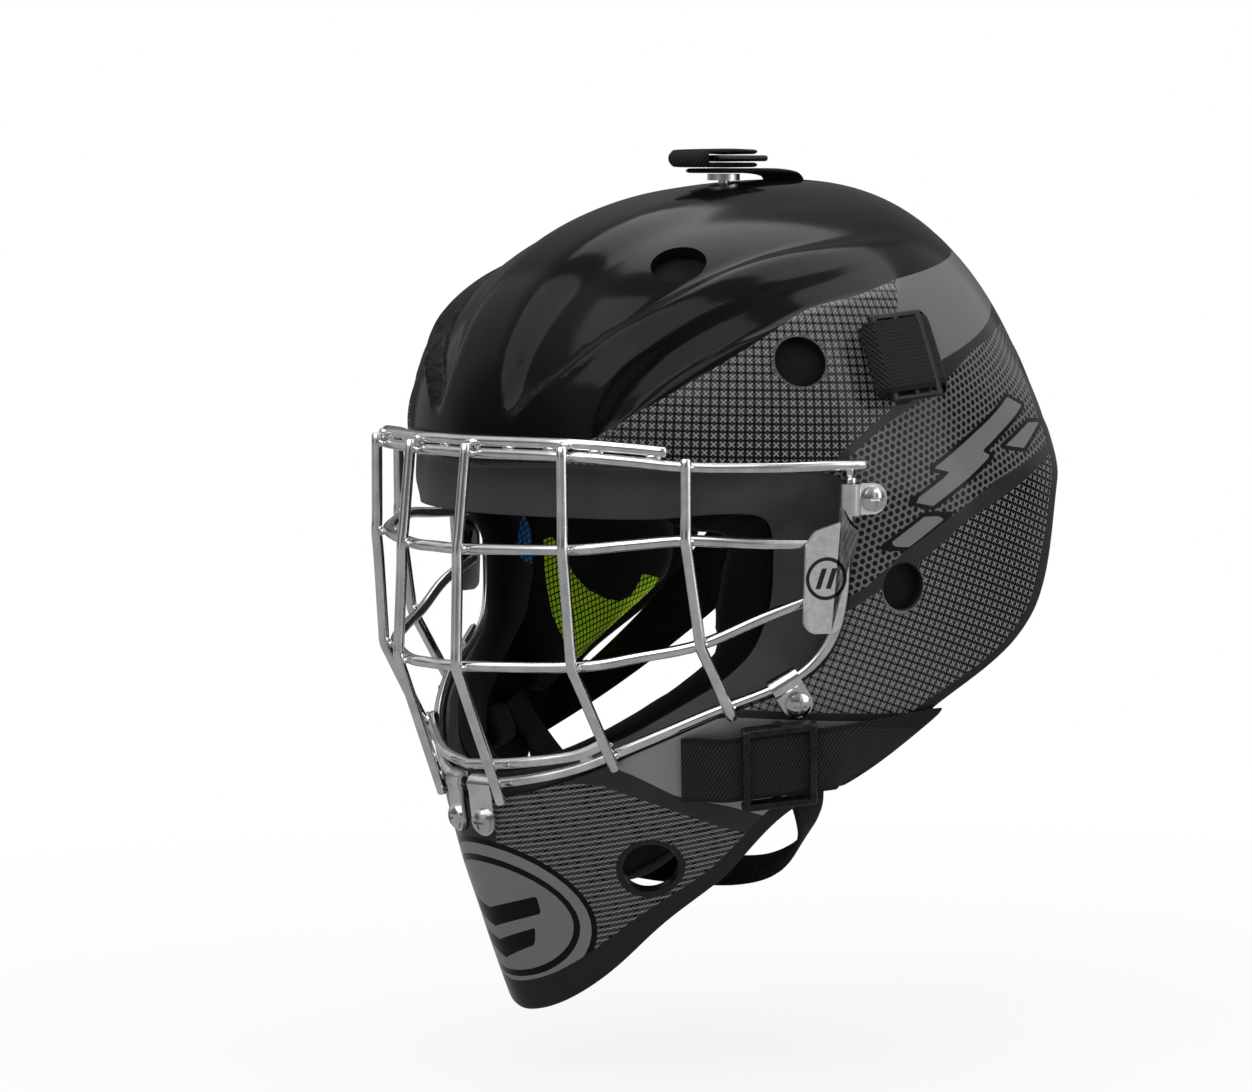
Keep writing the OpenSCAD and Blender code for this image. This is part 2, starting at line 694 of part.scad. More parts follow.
// Two ends of a strap at the plate's side
function strap_ends(z, w) = [for (q = [z + w / 2, z - w / 2]) back_at(side_at(q) + 1.7, q, -back_t / 2)];
UPPER_END = back_mid + back_h / 2 - 23;
LOWER_END = back_mid - back_h / 2 + 21;
module backplate() {
    color([0.10, 0.10, 0.11])
    difference() {
        back_patch(1, back_h, 0, back_t);
        // slots for the five straps
        translate(back_at(0, back_mid + back_h / 2 - 9, 0))
        rotate([90, 0, 0])
        slot_shape(top_w + slot_w - 2, slot_w - 2, 30);
        both()
        for (q = [[UPPER_END, upper_w], [LOWER_END, lower_w]])
            let (a = side_at(q[0]) - 6)
            translate(back_at(a, q[0], 0))
            rotate([0, 90, 90 - a])
            slot_shape(q[1] + 2, slot_w - 2, 30);
    }
}
module backplate_pad() {
    color([0.08, 0.08, 0.09]) back_patch(0.72, back_h * 0.7, -back_t - rest_gap - 0.5, back_pad_t, 16, 8);
}

// Straps
flat = web_t / 2 + bar_t + glide_gap + 1.2;
function slide_room() = lower_glide_l / 2 + glide_travel + 1.5;
LOWER_GLIDE = [64.2, -36.6];
function lower_n() = out(face(LOWER_GLIDE[0], LOWER_GLIDE[1]));
function lower_mid() = stand(LOWER_GLIDE[0], LOWER_GLIDE[1], flat);
function lower_g() =
    let (n = lower_n(), d = face(74, -35.2) - face(55, -36.6)) unit(d - n * (d * n));

// Rings of a flat strap from a frame: centre, along, normal
function flat_ring(p, g, n, ts) = let (a = unit(cross(g, n))) [for (t = ts) p + a * t];
function across(w, k) = [for (i = [0 : k]) w * (i / k - 0.5)];
// Row of points between two ends, kept to the strap's count
function row(a, b, k) = [for (i = [0 : k]) mix(a, b, i / k)];
// Where the lower strap crosses the shell's rear edge: places on that outline
CROSS = [0.6, 0.69];
module lower_strap(s) {
    k = 6;
    ts = across(lower_w, k);
    n0 = lower_n();
    g0 = lower_g();
    mid = lower_mid();
    P = [for (i = [0 : k]) sight(rim(mix(CROSS[0], CROSS[1], i / k), 2))];
    N = [for (q = P) out(q)];
    // away from the shell, past its edge
    D = [for (i = [0 : k]) unit(cross(N[i], P[min(i + 1, k)] - P[max(i - 1, 0)]))];
    lift = web_t / 2 + 0.9;
    past = web_t / 2 + 1;
    E = strap_ends(LOWER_END, lower_w);
    at_edge = [for (i = [0 : k]) P[i] + N[i] * lift];
    corner = [for (i = [0 : k]) P[i] + N[i] * lift * 0.6 + D[i] * past * 0.8];
    turned = [for (i = [0 : k]) P[i] + D[i] * past - N[i] * 1.5];
    inside = [for (i = [0 : k]) P[i] + D[i] * past * 1.1 - N[i] * (wall + 2)];
    last = flat_ring(mid + g0 * slide_room(), g0, n0, ts);
    rows = concat(
        [
            flat_ring(stand(45.2, -37.6, web_t / 2 + rest_gap + 0.4), g0, n0, ts),
            flat_ring(stand(48, -37.4, web_t / 2 + rest_gap + 1.1), g0, n0, ts)
        ],
        [for (q = [-0.98, -0.5, 0, 0.5]) flat_ring(mid + g0 * slide_room() * q, g0, n0, ts)],
        [last],
        [
            for (q = [0.33, 0.66])
                [
                    for (i = [0 : k])
                        let (
                            m = mix(last[i], at_edge[i], q),
                            on = sight(unit(m - EYE)),
                            n = out(on),
                            h = (m - on) * n
                        )
                        m + n * max(0, lift - h)
                ]
        ],
        [at_edge, corner, turned, inside],
        [
            for (q = [0.2, 0.4, 0.6, 0.8])
                [for (i = [0 : k]) mix(inside[i], mix(E[0], E[1], i / k), q) - [0, 0, 12 * q * (1 - q)]]
        ],
        [row(E[0], E[1], k)]
    );
    color([0.07, 0.07, 0.08]) side(s) thick(rows, web_t);
}

// A sheet of given thickness from a grid of its middle points
module thick(G, t) {
    n = len(G) - 1;
    m = len(G[0]) - 1;
    grid = [
        for (i = [0 : n])
            [
                for (j = [0 : m])
                    let (
                        du = G[min(i + 1, n)][j] - G[max(i - 1, 0)][j],
                        dv = G[i][min(j + 1, m)] - G[i][max(j - 1, 0)],
                        q = unit(cross(du, dv)) * t / 2
                    )
                    [G[i][j] - q, G[i][j] + q]
            ]
    ];
    slab(grid);
}

// Closed solid from a grid of pairs: one face point and the point behind it
module slab(grid) {
    nu = len(grid) - 1;
    nv = len(grid[0]) - 1;
    w = nv + 1;
    top = (nu + 1) * w;
    function id(i, j, k) = k * top + i * w + j;
    polyhedron(
        concat([for (c = grid) for (q = c) q[0]], [for (c = grid) for (q = c) q[1]]),
        [
            for (i = [0 : nu - 1])
                for (j = [0 : nv - 1])
                    each [
                        [id(i, j, 0), id(i + 1, j, 0), id(i + 1, j + 1, 0)],
                        [id(i, j, 0), id(i + 1, j + 1, 0), id(i, j + 1, 0)],
                        [id(i, j, 1), id(i + 1, j + 1, 1), id(i + 1, j, 1)],
                        [id(i, j, 1), id(i, j + 1, 1), id(i + 1, j + 1, 1)]
                    ],
            for (i = [0 : nu - 1])
                each [
                    [id(i, 0, 0), id(i, 0, 1), id(i + 1, 0, 1)],
                    [id(i, 0, 0), id(i + 1, 0, 1), id(i + 1, 0, 0)],
                    [id(i, nv, 0), id(i + 1, nv, 1), id(i, nv, 1)],
                    [id(i, nv, 0), id(i + 1, nv, 0), id(i + 1, nv, 1)]
                ],
            for (j = [0 : nv - 1])
                each [
                    [id(0, j, 0), id(0, j + 1, 1), id(0, j, 1)],
                    [id(0, j, 0), id(0, j + 1, 0), id(0, j + 1, 1)],
                    [id(nu, j, 0), id(nu, j, 1), id(nu, j + 1, 1)],
                    [id(nu, j, 0), id(nu, j + 1, 1), id(nu, j + 1, 0)]
                ]
        ]
    );
}

// Adjusters
module round_box(l, w, r) {
    square([l - 2 * r, w], center = true);
    square([l, w - 2 * r], center = true);
    for (x = [-1, 1])
        for (y = [-1, 1])
            translate([x * (l / 2 - r), y * (w / 2 - r)])
            circle(r = r, $fn = 24);
}
// Flat adjuster: a frame with a middle bar
module flat_glide(l, w, bar = 3.4, rail = 2.4) {
    linear_extrude(bar_t)
    difference() {
        round_box(l, w + 2 * rail + 1.2, 2.4);
        for (s = [-1, 1])
            translate([s * (l / 4 - bar / 4), 0])
            round_box((l - 3 * bar) / 2, w + 1.2, 1);
    }
}
// Ladder adjuster: outer bars over the strap, middle bar under it
module ladder_glide(l, w) {
    rail = 3;
    over_z = web_t / 2 + glide_gap;
    for (x = [-1, 1])
        translate([x * (l - bar_t - 1) / 2, 0, over_z + bar_t / 2])
        cube([bar_t + 1, w + 2 * rail, bar_t], center = true);
    translate([0, 0, -over_z - bar_t / 2])
    cube([bar_t + 1.6, w + 2 * rail, bar_t], center = true);
    for (y = [-1, 1])
        translate([0, y * (w / 2 + glide_gap + rail / 2), 0])
        difference() {
            cube([l, rail, 2 * (over_z + bar_t)], center = true);
            for (x = [-1, 1])
                translate([x * (l / 2 - 1), 0, -over_z - bar_t])
                rotate([90, 0, 0])
                cylinder(r = 6, h = 20, center = true, $fn = 40);
        }
}
module lower_glide(s) {
    color([0.09, 0.09, 0.10])
    side(s)
    place(lower_mid(), lower_g(), lower_n())
    ladder_glide(lower_glide_l, lower_w + 0.6);
}

// Free end of a strap, folded round an adjuster: lower layer, turn and upper layer
module folded_end(l0, l1, w) {
    r = (bar_t + 2 * glide_gap) / 2;
    rotate([90, 0, 0])
    linear_extrude(w, center = true)
    union() {
        translate([l0, 0]) square([l1 - l0, web_t]);
        translate([l0, web_t + 2 * r]) square([l1 - l0, web_t]);
        translate([l0, web_t + r])
        difference() {
            circle(r = r + web_t, $fn = 40);
            circle(r = r, $fn = 32);
            translate([0, -20]) square([20, 40]);
        }
    }
}

// Upper strap: under its adjuster, through the slot, inside to the backplate
UPPER_STAND = 0.5 + web_t / 2;
function upper_n() = out(face(UPPER_GLIDE[0], UPPER_GLIDE[1]));
function upper_g() =
    let (d = face(UPPER_SLOT[0], UPPER_SLOT[1]) - face(78, 31)) unit(d - upper_n() * (d * upper_n()));
function upper_mid() = stand(UPPER_GLIDE[0], UPPER_GLIDE[1], UPPER_STAND + 1.6);
module upper_strap(s) {
    n0 = upper_n();
    g0 = upper_g();
    ts = across(upper_w, 4);
    n1 = out(face(UPPER_SLOT[0], UPPER_SLOT[1]));
    g1 = unit(g0 - n1 * (g0 * n1));
    b = UPPER_SLOT[0];
    c = UPPER_SLOT[1];
    inner = [
        for (q = [[4, -0.8, 2.2], [8, -2.2, 4], [12, -4.6, 7.5], [15.5, -7.5, 12.5]])
            lies(b + q[0], c + q[1], -(wall + web_t / 2 + q[2]))
    ];
    E = strap_ends(UPPER_END, upper_w);
    rows = concat(
        [for (q = [-13, -2, 8]) flat_ring(upper_mid() + g0 * q, g0, n0, ts)],
        [
            flat_ring(stand(b - 2.2, c, web_t / 2 + 1.9), g1, n1, ts),
            flat_ring(stand(b + 0.1, c, web_t / 2 + 0.7), unit(g1 - n1), unit(g1 + n1), ts),
            flat_ring(stand(b + 0.1, c, -wall / 2), -n1, g1, ts),
            flat_ring(stand(b + 0.6, c, -wall - 2), unit(g1 - n1), unit(g1 + n1), ts)
        ],
        [
            for (i = [0 : 3])
                let (way = unit(inner[min(i + 1, 3)][0] - inner[max(i - 1, 0)][0]))
                flat_ring(inner[i][0], way, inner[i][1], ts)
        ],
        [row(E[0], E[1], 4)]
    );
    color([0.07, 0.07, 0.08]) side(s) thick(rows, web_t);
}
module on_upper(s) {
    side(s) place(upper_mid() + upper_n() * (web_t / 2 + rest_gap), upper_g(), upper_n()) children();
}
module upper_glide(s) {
    color([0.09, 0.09, 0.10])
    on_upper(s)
    translate([0, 0, web_t + glide_gap])
    flat_glide(upper_glide_l, upper_w);
}
module upper_strap_end(s) {
    color([0.07, 0.07, 0.08])
    on_upper(s)
    folded_end(-upper_glide_l / 2 - 0.5, upper_glide_l / 2 - 4, upper_w);
}

// Top strap: over a stud on the crown, through the slot, under the crown to the backplate
STUD_Y = -23.5;
function crown_at(y) = sight(unit([0, y, crown_z - 2] - EYE))[2];
function stud_z() = crown_at(STUD_Y + stud_d / 2) + 0.25;
function top_z() = stud_z() + stud_h + rest_gap + web_t / 2;
module top_strap() {
    ts = across(top_w, 4);
    up = [0, 0, 1];
    y = TOP_SLOT_Y;
    inner = [for (e = [74, 66, 59]) lies(180, e, -(wall + web_t / 2 + 2.9))];
    z = back_mid + back_h / 2;
    rows = concat(
        [for (q = [-32, -20, -6]) flat_ring([0, q, top_z()], [0, 1, 0], up, ts)],
        [
            flat_ring([0, y - 3.4, crown_z + web_t / 2 + 1.2], unit([0, 1, -0.25]), up, ts),
            flat_ring([0, y - 1, crown_z + 0.6], unit([0, 1, -1]), unit([0, 1, 1]), ts),
            flat_ring([0, y, crown_z - wall / 2], [0, 0, -1], [0, 1, 0], ts),
            flat_ring([0, y + 0.8, crown_z - wall - 1.6], unit([0, 1, -1]), unit([0, 1, 1]), ts),
            flat_ring([0, y + 4, crown_z - wall - 4], unit([0, 1, -0.2]), up, ts)
        ],
        [
            for (i = [0 : 2])
                let (way = unit(inner[min(i + 1, 2)][0] - inner[max(i - 1, 0)][0]))
                flat_ring(inner[i][0], way, inner[i][1], ts)
        ],
        [
            flat_ring(back_at(0, z + 8, -back_t / 2) + [0, 1.5, 0], [0, 0, -1], [0, 1, 0], ts),
            flat_ring(back_at(0, z + 1, -back_t / 2), [0, 0, -1], [0, 1, 0], ts)
        ]
    );
    color([0.07, 0.07, 0.08]) thick(rows, web_t);
}
module on_top_strap() { translate([0, -25.5, top_z() + web_t / 2 + rest_gap]) rotate(90) children(); }
module top_glide() {
    color([0.09, 0.09, 0.10])
    on_top_strap()
    translate([0, 0, web_t + glide_gap])
    flat_glide(upper_glide_l, top_w);
}
module top_strap_end() {
    color([0.07, 0.07, 0.08])
    on_top_strap()
    folded_end(-upper_glide_l / 2 - 0.5, upper_glide_l / 2 - 3, top_w);
}
module top_stud() {
    color([0.80, 0.80, 0.80])
    translate([0, STUD_Y, stud_z()]) {
        cylinder(d = stud_d, h = stud_h, $fn = 48);
        translate([0, 0, -wall - 4]) cylinder(d = screw_d, h = wall + 4, $fn = 32);
    }
}
module top_nut() {
    color([0.55, 0.55, 0.57])
    translate([0, STUD_Y, crown_at(STUD_Y - nut_d / 2) - wall - nut_gap])
    difference() {
        union() {
            translate([0, 0, -1.2]) cylinder(d = nut_d, h = 1.2, $fn = 48);
            translate([0, 0, -2.6]) cylinder(d = screw_d + 3, h = 2.6, $fn = 32);
        }
        cylinder(d = screw_d + 0.1, h = 20, center = true, $fn = 32);
    }
}

// Chin strap: hangs from two snaps inside the jaw, and carries the chin cup
CHIN_SNAP = [70, -38.5];
function snap_p() = stand(CHIN_SNAP[0], CHIN_SNAP[1], -wall - rest_gap);
module chin_snaps() {
    color([0.35, 0.35, 0.36])
    both()
    place(snap_p(), [0, 0, 1], out(face(CHIN_SNAP[0], CHIN_SNAP[1])))
    translate([0, 0, -snap_h])
    // domed, so that the strap can turn about it
    intersection() {
        cylinder(d = snap_d, h = snap_h, $fn = 48);
        translate([0, 0, snap_d * 2 / 3]) sphere(r = snap_d * 2 / 3, $fn = 64);
    }
}
// Middle of the strap: share of the half width, places behind and below the snap, and the way across
SLING = [
    [0.703, 7.2, -8.8, [-0.3, -0.95, 0]], [0.684, 11.7, -19.8, [0.25, -0.96, -0.1]],
    [0.668, 11.2, -28.8, [0.5, -0.78, -0.3]], [0.595, 9.2, -37.8, [0.3, -0.75, -0.6]],
    [0.466, 5.2, -43.3, [0.1, -0.8, -0.6]], [0.241, 1.7, -45.8, [0, -0.8, -0.6]],
    [0, 0.2, -46.8, [0, -0.8, -0.6]]
];
function sling_p(q) = let (p = snap_p()) [q[0] * half_width, p[1] + q[1], p[2] + q[2]];
function across_row(p, a, w, k) = [for (i = [0 : k]) p + unit(a) * w * (i / k - 0.5)];
module chin_strap() {
    n0 = out(face(CHIN_SNAP[0], CHIN_SNAP[1]));
    p0 = snap_p() - n0 * (snap_h + 0.5 + chin_t / 2);
    d = sling_p(SLING[0]) - p0;
    g = unit(d - n0 * (d * n0));
    a = cross(g, n0);
    half = concat([[p0 - g * 6.5, a], [p0, a], [p0 + g * 6.5, a]], [for (q = SLING) [sling_p(q), q[3]]]);
    whole = concat(half, [for (i = [len(half) - 2 : -1 : 0]) [flip(half[i][0]), flip(half[i][1])]]);
    color([0.06, 0.06, 0.07]) thick([for (q = whole) across_row(q[0], q[1], chin_w, 2)], chin_t);
}
// Soft cup, a shallow bowl lying in the bottom of the strap
module chin_cup() {
    nu = 12;
    nv = 8;
    grid = [
        for (i = [0 : nu])
            [
                for (j = [0 : nv])
                    let (
                        u = 2 * i / nu - 1,
                        v = 2 * j / nv - 1,
                        x = cup_l / 2 * u * sqrt(1 - 0.3 * v * v),
                        y = cup_w / 2 * v * sqrt(1 - 0.3 * u * u),
                        z = 12 * sq(x / (cup_l / 2)) + 7 * sq(y / (cup_w / 2))
                    )
                    [[x, y, z], [x, y, z + cup_t]]
            ]
    ];
    color([0.10, 0.10, 0.11])
    translate(sling_p(SLING[len(SLING) - 1]) + [0, -0.8, 1.2]) rotate([36.9, 0, 0]) slab(grid);
}

shell();
cage_uprights();
cage_top_bar();
cage_brow_bar();
cage_cross_bars();
cage_rim_wire();
cage_chin_bar();
side_plate(1);  // side_plate_left
side_plate(-1);  // side_plate_right
temple_clips();
jaw_clips();
chin_clips();
clip_screws();
clip_nuts();
forehead_pad();
crown_pad();
temple_pad(1);  // temple_pad_left
temple_pad(-1);  // temple_pad_right
cheek_pad(1);  // cheek_pad_left
cheek_pad(-1);  // cheek_pad_right
jaw_pad(1);  // jaw_pad_left
jaw_pad(-1);  // jaw_pad_right
chin_pad();
backplate();
backplate_pad();
lower_strap(1);  // lower_strap_left
lower_strap(-1);  // lower_strap_right
lower_glide(1);  // lower_glide_left
lower_glide(-1);  // lower_glide_right
upper_strap(1);  // upper_strap_left
upper_strap(-1);  // upper_strap_right
upper_glide(1);  // upper_glide_left
upper_glide(-1);  // upper_glide_right
upper_strap_end(1);  // upper_strap_end_left
upper_strap_end(-1);  // upper_strap_end_right
top_strap();
top_glide();
top_strap_end();
top_stud();
top_nut();
chin_snaps();
chin_strap();
chin_cup();
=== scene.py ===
"""Looks for a moulded hockey goalie mask: painted shell, welded wire cage, liner, straps and rear panel.

Lengths inside the classes are in millimetres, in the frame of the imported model. Meshes are made in metres.
"""

from __future__ import annotations

import json
import logging
import math
from dataclasses import dataclass, field
from enum import Enum, IntEnum
from typing import Callable, Sequence

import bmesh
import bpy
import numpy as np
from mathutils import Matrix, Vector

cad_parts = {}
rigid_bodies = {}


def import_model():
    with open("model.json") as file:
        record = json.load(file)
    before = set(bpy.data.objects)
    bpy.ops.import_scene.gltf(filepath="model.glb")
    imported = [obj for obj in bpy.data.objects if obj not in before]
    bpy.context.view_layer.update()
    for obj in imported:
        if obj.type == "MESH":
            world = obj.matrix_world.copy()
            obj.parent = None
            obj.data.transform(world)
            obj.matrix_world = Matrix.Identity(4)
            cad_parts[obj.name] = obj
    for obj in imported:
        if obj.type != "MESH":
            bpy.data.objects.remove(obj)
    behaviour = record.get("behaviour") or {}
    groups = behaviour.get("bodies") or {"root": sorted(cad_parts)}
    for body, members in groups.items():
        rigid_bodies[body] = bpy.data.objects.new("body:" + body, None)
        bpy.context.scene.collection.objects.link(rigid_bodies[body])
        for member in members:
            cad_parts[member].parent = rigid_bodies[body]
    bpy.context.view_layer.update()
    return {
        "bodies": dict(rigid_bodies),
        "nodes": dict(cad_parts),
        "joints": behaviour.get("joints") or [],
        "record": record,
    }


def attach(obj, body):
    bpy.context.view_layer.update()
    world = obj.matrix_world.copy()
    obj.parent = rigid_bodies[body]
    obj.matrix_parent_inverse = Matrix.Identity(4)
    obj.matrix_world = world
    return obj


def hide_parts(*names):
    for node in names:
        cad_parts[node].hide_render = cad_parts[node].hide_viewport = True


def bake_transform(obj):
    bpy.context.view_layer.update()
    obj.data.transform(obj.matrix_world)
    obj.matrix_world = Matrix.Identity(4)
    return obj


LOG = logging.getLogger("goalie_mask")
MM = 0.001
Point = Sequence[float]
Array = np.ndarray
UP = np.array([0.0, 0.0, 1.0])
RIGHT = np.array([1.0, 0.0, 0.0])
BACK = np.array([0.0, 1.0, 0.0])


# ---- small numeric helpers


def unit(v: Array) -> Array:
    """Vectors of length 1 along v's last axis."""
    v = np.asarray(v, float)
    return v / np.maximum(np.linalg.norm(v, axis=-1, keepdims=True), 1e-12)


def ease(t: Array) -> Array:
    """Smooth step from 0 to 1."""
    t = np.clip(t, 0.0, 1.0)
    return t * t * (3 - 2 * t)


def sweep_table(table: Sequence[Sequence[float]], column: int, x: Array) -> Array:
    """Smooth value of a table's column, with no overshoot between its rows.

    Args:
        table: rows whose first number rises.
        column: the column that is read.
        x: where it is read, in the first column's terms.

    Returns:
        The column's values at x.
    """
    rows = np.asarray(table, float)
    keys, values = rows[:, 0], rows[:, column]
    step = np.diff(values) / np.diff(keys)
    slope = np.empty_like(values)
    slope[0], slope[-1] = step[0], step[-1]
    product = step[:-1] * step[1:]
    total = np.where(np.abs(step[:-1] + step[1:]) < 1e-12, 1.0, step[:-1] + step[1:])
    slope[1:-1] = np.where(product > 0, 2 * product / total, 0.0)
    x = np.asarray(x, float)
    i = np.clip(np.searchsorted(keys, x, side="right") - 1, 0, len(keys) - 2)
    h = keys[i + 1] - keys[i]
    t = np.clip((x - keys[i]) / h, 0, 1)
    t2, t3 = t * t, t * t * t
    return (
        (2 * t3 - 3 * t2 + 1) * values[i]
        + (t3 - 2 * t2 + t) * h * slope[i]
        + (3 * t2 - 2 * t3) * values[i + 1]
        + (t3 - t2) * h * slope[i + 1]
    )


def spline(a: Array, b: Array, c: Array, d: Array, t: Array) -> Array:
    """The smooth line from b to c, a share t of the way, with a before it and d after it."""
    return b + t / 2 * ((c - a) + t * ((2 * a - 5 * b + 4 * c - d) + t * (3 * b - a - 3 * c + d)))


def through(points: Array, steps: int) -> Array:
    """Smooth line through points.

    Args:
        points: the points, in order. Each may itself be a row of points.
        steps: pieces between each two points.

    Returns:
        The points of the line.
    """
    p = np.asarray(points, float)
    p = np.concatenate([[2 * p[0] - p[1]], p, [2 * p[-1] - p[-2]]])
    shares = np.arange(steps) / steps
    out = [spline(*p[i - 1 : i + 3], t) for i in range(1, len(p) - 2) for t in shares]
    return np.array([*out, p[-2]])


def direction(bearing: Array, rise: Array) -> Array:
    """Unit vectors from a bearing off the front and an elevation, both in degrees."""
    a, e = np.radians(np.asarray(bearing, float)), np.radians(np.asarray(rise, float))
    a, e = np.broadcast_arrays(a, e)
    return np.stack([np.sin(a) * np.cos(e), -np.cos(a) * np.cos(e), np.sin(e)], -1)


def turn_between(a: Array, b: Array, t: Array) -> Array:
    """Unit vectors a share t of the way from a to b, along the great circle."""
    w = np.arccos(np.clip(np.sum(a * b, -1, keepdims=True), -1, 1))
    s = np.maximum(np.sin(w), 1e-9)
    t = np.asarray(t, float)[..., None]
    return unit(a * np.sin((1 - t) * w) / s + b * np.sin(t * w) / s)


def flipped(p: Array) -> Array:
    """Points on the other side of the middle plane."""
    return np.asarray(p, float) * [-1, 1, 1]


def distance_to_outline(points: Array, outline: Sequence[Point]) -> Array:
    """Signed distance to a closed outline in a plane, above 0 inside.

    Args:
        points: an array of points, two numbers each.
        outline: the corners in order.

    Returns:
        One distance a point.
    """
    corners = np.asarray(outline, float)
    best = np.full(len(points), 1e9)
    inside = np.zeros(len(points), bool)
    for a, b in zip(corners, np.roll(corners, -1, axis=0)):
        e, w = b - a, points - a
        t = np.clip((w @ e) / max(e @ e, 1e-9), 0, 1)
        best = np.minimum(best, np.linalg.norm(w - t[:, None] * e, axis=1))
        crosses = (a[1] <= points[:, 1]) != (b[1] <= points[:, 1])
        at = a[0] + (points[:, 1] - a[1]) * e[0] / (e[1] if abs(e[1]) > 1e-9 else 1e-9)
        inside ^= crosses & (points[:, 0] < at)
    return np.where(inside, best, -best)


class Side(Enum):
    """The wearer's left, towards +X, or right."""

    LEFT = 1
    RIGHT = -1

    @property
    def label(self) -> str:
        """The ending that node names use."""
        return "left" if self is Side.LEFT else "right"

    def place(self, p: Array) -> Array:
        """Points written for the left side, put on this side."""
        return np.asarray(p, float) if self is Side.LEFT else flipped(p)


# ---- the shell's surface


@dataclass(frozen=True)
class MaskForm:
    """Outer surface of the shell, sighted from the middle of the head."""

    crown_z: float = 109.0
    half_width: float = 116.0
    brow_reach: float = 138.0
    back_reach: float = 84.0
    wall: float = 4.0
    recess: float = 4.0
    flute_depth: float = 4.5
    inner_share: float = 1.4
    dome_z: float = 20.0
    dome_power: float = 2.1
    eye: tuple[float, float, float] = (0.0, -25.0, -20.0)
    stations: tuple[tuple[float, ...], ...] = (
        (-195, 50 / 116, 112 / 138, 60, -20, 1.90, 2.2),
        (-183, 56 / 116, 117 / 138, 66, -18, 1.85, 2.2),
        (-158, 62 / 116, 127 / 138, 74, -15, 1.80, 2.2),
        (-134, 78 / 116, 134 / 138, 82, -12, 1.80, 2.2),
        (-108, 97 / 116, 138 / 138, 88, -10, 1.80, 2.2),
        (-80, 108 / 116, 140 / 138, 98, -11, 1.95, 2.3),
        (-40, 115 / 116, 141 / 138, 108, -13, 2.08, 2.3),
        (0, 1, 139.5 / 138, 108, -20, 2.15, 2.3),
        (20, 113 / 116, 1, 104, -27, 2.13, 2.2),
        (50, 111 / 116, 137 / 138, 86, -25, 2.10, 2.1),
        (80, 110 / 116, 137 / 138, 84, -14, 2.10, 2.1),
        (109, 110 / 116, 137 / 138, 84, 5, 2.10, 2.1),
    )
    edges: tuple[tuple[tuple[float, float], ...], ...] = (
        ((0, 5), (0, 13.8), (180, 37)),
        ((22.8, 4.9), (20.5, 14.3), (155.8, 35.4)),
        ((40, 4.9), (38.4, 14), (140, 31.5)),
        ((53, 5.8), (54, 13.9), (131.5, 26)),
        ((60.6, 5), (66.7, 13.5), (129.5, 20)),
        ((63.4, 1.5), (74.5, 11.7), (130.5, 16)),
        ((64.2, -4), (76.3, 4), (126.5, 6.3)),
        ((63.9, -10), (76.3, -6), (122, -7.2)),
        ((62.5, -15), (75, -15), (114.9, -16.5)),
        ((59.8, -20.2), (71.5, -21), (97.4, -28)),
        ((53.5, -24.8), (64.5, -25.2), (83.7, -38)),
        ((44, -29), (52.6, -29.2), (68.3, -47)),
        ((34.3, -33), (38.8, -34), (54, -57.5)),
        ((23, -35.6), (24.9, -37.8), (32, -62)),
        ((11.4, -36.5), (11.5, -39.3), (14, -62.9)),
        ((0, -36.6), (0, -39.8), (0, -62.8)),
    )
    flutes: tuple[tuple[tuple[float, ...], ...], ...] = (
        (
            (22, 22, 23, 0),
            (24.5, 19, 28, 0.55),
            (28, 16, 35, 0.95),
            (31.4, 13.5, 42, 1),
            (38.4, 12, 52, 1),
            (46.2, 11, 61, 0.95),
            (55.7, 12, 67, 0.8),
            (67.5, 15, 71, 0.6),
            (89, 24, 75, 0.3),
            (108, 30, 72, 0),
        ),
        (
            (20, 58, 60, 0),
            (23, 58, 64, 0.45),
            (27, 59, 69, 0.7),
            (33, 62, 75, 0.75),
            (40, 68, 81, 0.65),
            (48, 74, 87, 0.5),
            (60, 80, 92, 0.35),
            (80, 84, 94, 0.2),
            (95, 82, 92, 0),
        ),
    )

    @property
    def centre(self) -> Array:
        """The point that the surface is sighted from."""
        return np.array(self.eye)

    @property
    def inner_drop(self) -> float:
        """How far the recess lies under the smooth surface at the opening itself."""
        return self.inner_share * self.recess

    def recess_drop(self, t: float) -> float:
        """How far the recess lies under it a share t of the way from the opening to the paint."""
        return self.recess * (1 + 0.4 * (1 - float(ease(t / 0.5))))

    def level(self, p: Array) -> Array:
        """Below 0 inside the smooth outer surface, above 0 outside."""
        z = p[..., 2]
        half, front, back, middle, front_power, back_power = (
            sweep_table(self.stations, c, z) for c in range(1, 7)
        )
        fore = p[..., 1] < middle
        reach = np.where(fore, middle + front * self.brow_reach, back * self.back_reach / 84 - middle)
        n = np.where(fore, front_power, back_power)
        across = np.abs(p[..., 0]) / (half * self.half_width)
        along = np.abs(p[..., 1] - middle) / reach
        e = (across**n + along**n) ** (1 / n)
        t = np.maximum(0, (z - self.dome_z) / (self.crown_z - self.dome_z))
        return e**self.dome_power + t**self.dome_power - 1

    def sight(self, d: Array) -> Array:
        """Where rays from the centre along d meet the smooth surface."""
        d = np.asarray(d, float)
        low = np.full(d.shape[:-1], 10.0)
        high = np.full(d.shape[:-1], 260.0)
        for _ in range(28):
            mid = (low + high) / 2
            outside = self.level(self.centre + d * mid[..., None]) > 0
            high = np.where(outside, mid, high)
            low = np.where(outside, low, mid)
        return self.centre + d * ((low + high) / 2)[..., None]

    def out(self, p: Array) -> Array:
        """Outward normals of the smooth surface at p."""
        p = np.asarray(p, float)
        base = self.level(p)
        steps = [self.level(p + np.eye(3)[k]) - base for k in range(3)]
        return unit(np.stack(steps, -1))

